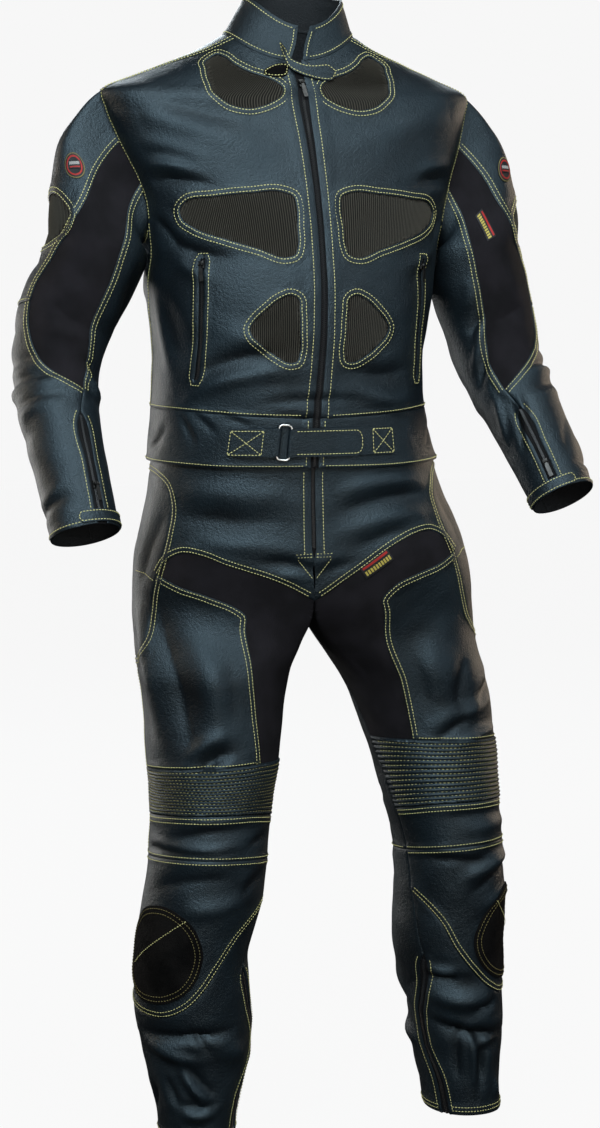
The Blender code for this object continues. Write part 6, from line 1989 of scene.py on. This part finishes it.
def area_light(name, at, to, size, power_w, colour):
    light = bpy.data.lights.new(name, "AREA")
    light.shape, light.size, light.size_y = "RECTANGLE", size[0], size[1]
    light.energy, light.color = power_w, colour
    return aimed(bpy.data.objects.new(name, light), at, to)


def make_stage():
    scene = bpy.context.scene
    made, tree, surface = shader("Studio floor", Roughness=0.9)
    tone = node(tree, "ShaderNodeTexNoise", Scale=1.5)
    colour = scene.race_suit_colours.floor
    flecks = mixed(tree, tone.outputs["Fac"], opaque(colour, 0.02), opaque(colour, 0.025))
    tree.links.new(flecks, surface.inputs["Base Color"])
    surface.inputs["Emission Color"].default_value = opaque(colour)
    surface.inputs["Specular IOR Level"].default_value = 0.0
    path = tree.nodes.new("ShaderNodeLightPath")
    tree.links.new(path.outputs["Is Camera Ray"], surface.inputs["Emission Strength"])
    mesh = bpy.data.meshes.new("studio_floor")
    bm = bmesh.new()
    level = Matrix.Translation((0, 0, FLOOR_LEVEL))
    bmesh.ops.create_grid(bm, x_segments=1, y_segments=1, size=12, matrix=level)
    bm.to_mesh(mesh)
    bm.free()
    mesh.materials.append(made)
    floor = bpy.data.objects.new("studio_floor", mesh)
    scene.collection.objects.link(floor)

    world = bpy.data.worlds.new("Studio")
    scene.world = world
    world.use_nodes = True
    tree = world.node_tree
    ground = tree.nodes["Background"]
    path = tree.nodes.new("ShaderNodeLightPath")
    mix = tree.nodes.new("ShaderNodeMix")
    mix.data_type = "RGBA"
    tree.links.new(path.outputs["Is Camera Ray"], mix.inputs[0])
    mix.inputs[6].default_value = (0.035, 0.042, 0.052, 1)
    mix.inputs[7].default_value = (0.93, 0.93, 0.93, 1)
    tree.links.new(mix.outputs[2], ground.inputs["Color"])

    middle = (0.0, 0.0, -0.6)
    area_light("Key", (-1.5, -3.0, 1.5), middle, (2.0, 1.5), 135, (0.82, 0.93, 1.0))
    area_light("Fill", (2.7, -2.6, 0.5), middle, (1.6, 2.0), 30, (0.92, 0.97, 1.0))
    area_light("Low", (-0.4, -3.4, -1.2), (0, 0, -0.7), (2.2, 0.6), 24, (1.0, 0.93, 0.86))
    area_light("Top", (0.2, -1.6, 2.4), (0, 0, -0.6), (2.0, 1.2), 56, (0.88, 0.96, 1.0))
    area_light("Back", (0.6, 3.4, 1.5), middle, (2.2, 1.8), 105, (0.86, 0.95, 1.0))
    area_light("Back low", (-1.8, 3.0, -0.6), middle, (1.4, 1.6), 26, (1.0, 0.96, 0.92))
    area_light("Rim right", (-2.6, 1.4, 0.2), middle, (0.5, 2.2), 22, (1.0, 0.78, 0.58))
    area_light("Rim left", (2.8, 1.5, 0.0), middle, (0.5, 2.2), 22, (1.0, 0.78, 0.58))

    camera = bpy.data.cameras.new("Camera")
    camera.sensor_fit, camera.sensor_height, camera.lens = "VERTICAL", 24, 55.65
    camera.clip_end = 60
    scene.camera = aimed(bpy.data.objects.new("Camera", camera), CAMERA_AT, CAMERA_TO)
    scene.view_settings.view_transform = "Standard"


# ---------------------------------------------------------------- add-on
class RaceSuitJacket(bpy.types.Operator):
    """Cuts and sews the jacket's panels, vents and pockets, and its waistband"""

    bl_idname = "race_suit.jacket"
    bl_label = "Jacket"

    def execute(self, context):
        make_jacket()
        return {"FINISHED"}


class RaceSuitZip(bpy.types.Operator):
    """Makes the jacket's front zip with its slider"""

    bl_idname = "race_suit.front_zip"
    bl_label = "Front zip"

    def execute(self, context):
        make_jacket_zip()
        return {"FINISHED"}


class RaceSuitCollar(bpy.types.Operator):
    """Makes the stand collar"""

    bl_idname = "race_suit.collar"
    bl_label = "Collar"

    def execute(self, context):
        make_collar()
        return {"FINISHED"}


class RaceSuitSleeves(bpy.types.Operator):
    """Cuts and sews both sleeves with their vents and cuff zips"""

    bl_idname = "race_suit.sleeves"
    bl_label = "Sleeves"

    def execute(self, context):
        make_sleeves()
        return {"FINISHED"}


class RaceSuitTrousers(bpy.types.Operator):
    """Cuts and sews the trousers with their knees, shins and zips"""

    bl_idname = "race_suit.trousers"
    bl_label = "Trousers"

    def execute(self, context):
        make_legs()
        return {"FINISHED"}


class RaceSuitStraps(bpy.types.Operator):
    """Makes the belt with its ring, the neck strap and the cuff straps"""

    bl_idname = "race_suit.straps"
    bl_label = "Belt and straps"

    def execute(self, context):
        make_belt()
        make_small_straps()
        return {"FINISHED"}


class RaceSuitBadges(bpy.types.Operator):
    """Sews on the plain badges and labels"""

    bl_idname = "race_suit.badges"
    bl_label = "Badges and labels"

    def execute(self, context):
        make_badges()
        return {"FINISHED"}


class RaceSuitStitches(bpy.types.Operator):
    """Lays the thread of every row of stitches that the other pieces marked"""

    bl_idname = "race_suit.stitches"
    bl_label = "Stitches"

    def execute(self, context):
        make_stitches()
        return {"FINISHED"}


class RaceSuitMetal(bpy.types.Operator):
    """Gives the frame's own metal pieces their finish"""

    bl_idname = "race_suit.metal"
    bl_label = "Pull tabs"

    def execute(self, context):
        for name in PULLS:
            obj = bpy.data.objects.get(name)
            if obj is None:
                raise RuntimeError(f"the frame has no {name}")
            for slot in obj.material_slots:
                slot.material = LOOKS["dark metal"]()
        return {"FINISHED"}


class RaceSuitStage(bpy.types.Operator):
    """Sets up the floor, the light and the camera"""

    bl_idname = "race_suit.stage"
    bl_label = "Stage"

    def execute(self, context):
        make_stage()
        return {"FINISHED"}


OPERATORS = (
    RaceSuitJacket,
    RaceSuitZip,
    RaceSuitCollar,
    RaceSuitSleeves,
    RaceSuitTrousers,
    RaceSuitStraps,
    RaceSuitBadges,
    RaceSuitStitches,
    RaceSuitMetal,
    RaceSuitStage,
)


class RaceSuitPanel(bpy.types.Panel):
    """Lists the steps that build the suit"""

    bl_idname = "VIEW3D_PT_race_suit"
    bl_label = "Race suit"
    bl_space_type = "VIEW_3D"
    bl_region_type = "UI"
    bl_category = "Race suit"

    def draw(self, context):
        for operator in OPERATORS:
            self.layout.operator(operator.bl_idname)
        for settings in ("race_suit_cloth", "race_suit_thread", "race_suit_colours"):
            box = self.layout.box()
            group = getattr(context.scene, settings)
            for name in group.bl_rna.properties.keys():
                if name not in ("rna_type", "name"):
                    box.prop(group, name)


SETTINGS = {
    "race_suit_cloth": RaceSuitCloth,
    "race_suit_thread": RaceSuitThread,
    "race_suit_colours": RaceSuitColours,
}


def register():
    for made in (*SETTINGS.values(), *OPERATORS, RaceSuitPanel):
        bpy.utils.register_class(made)
    for name, made in SETTINGS.items():
        setattr(bpy.types.Scene, name, PointerProperty(type=made))


def unregister():
    for name in SETTINGS:
        delattr(bpy.types.Scene, name)
    for made in reversed((*SETTINGS.values(), *OPERATORS, RaceSuitPanel)):
        bpy.utils.unregister_class(made)


def main():
    register()
    for operator in OPERATORS:
        group, step = operator.bl_idname.split(".")
        if getattr(getattr(bpy.ops, group), step)() != {"FINISHED"}:
            raise RuntimeError(f"{operator.bl_idname} didn't finish")


if __name__ == "__main__":
    main()
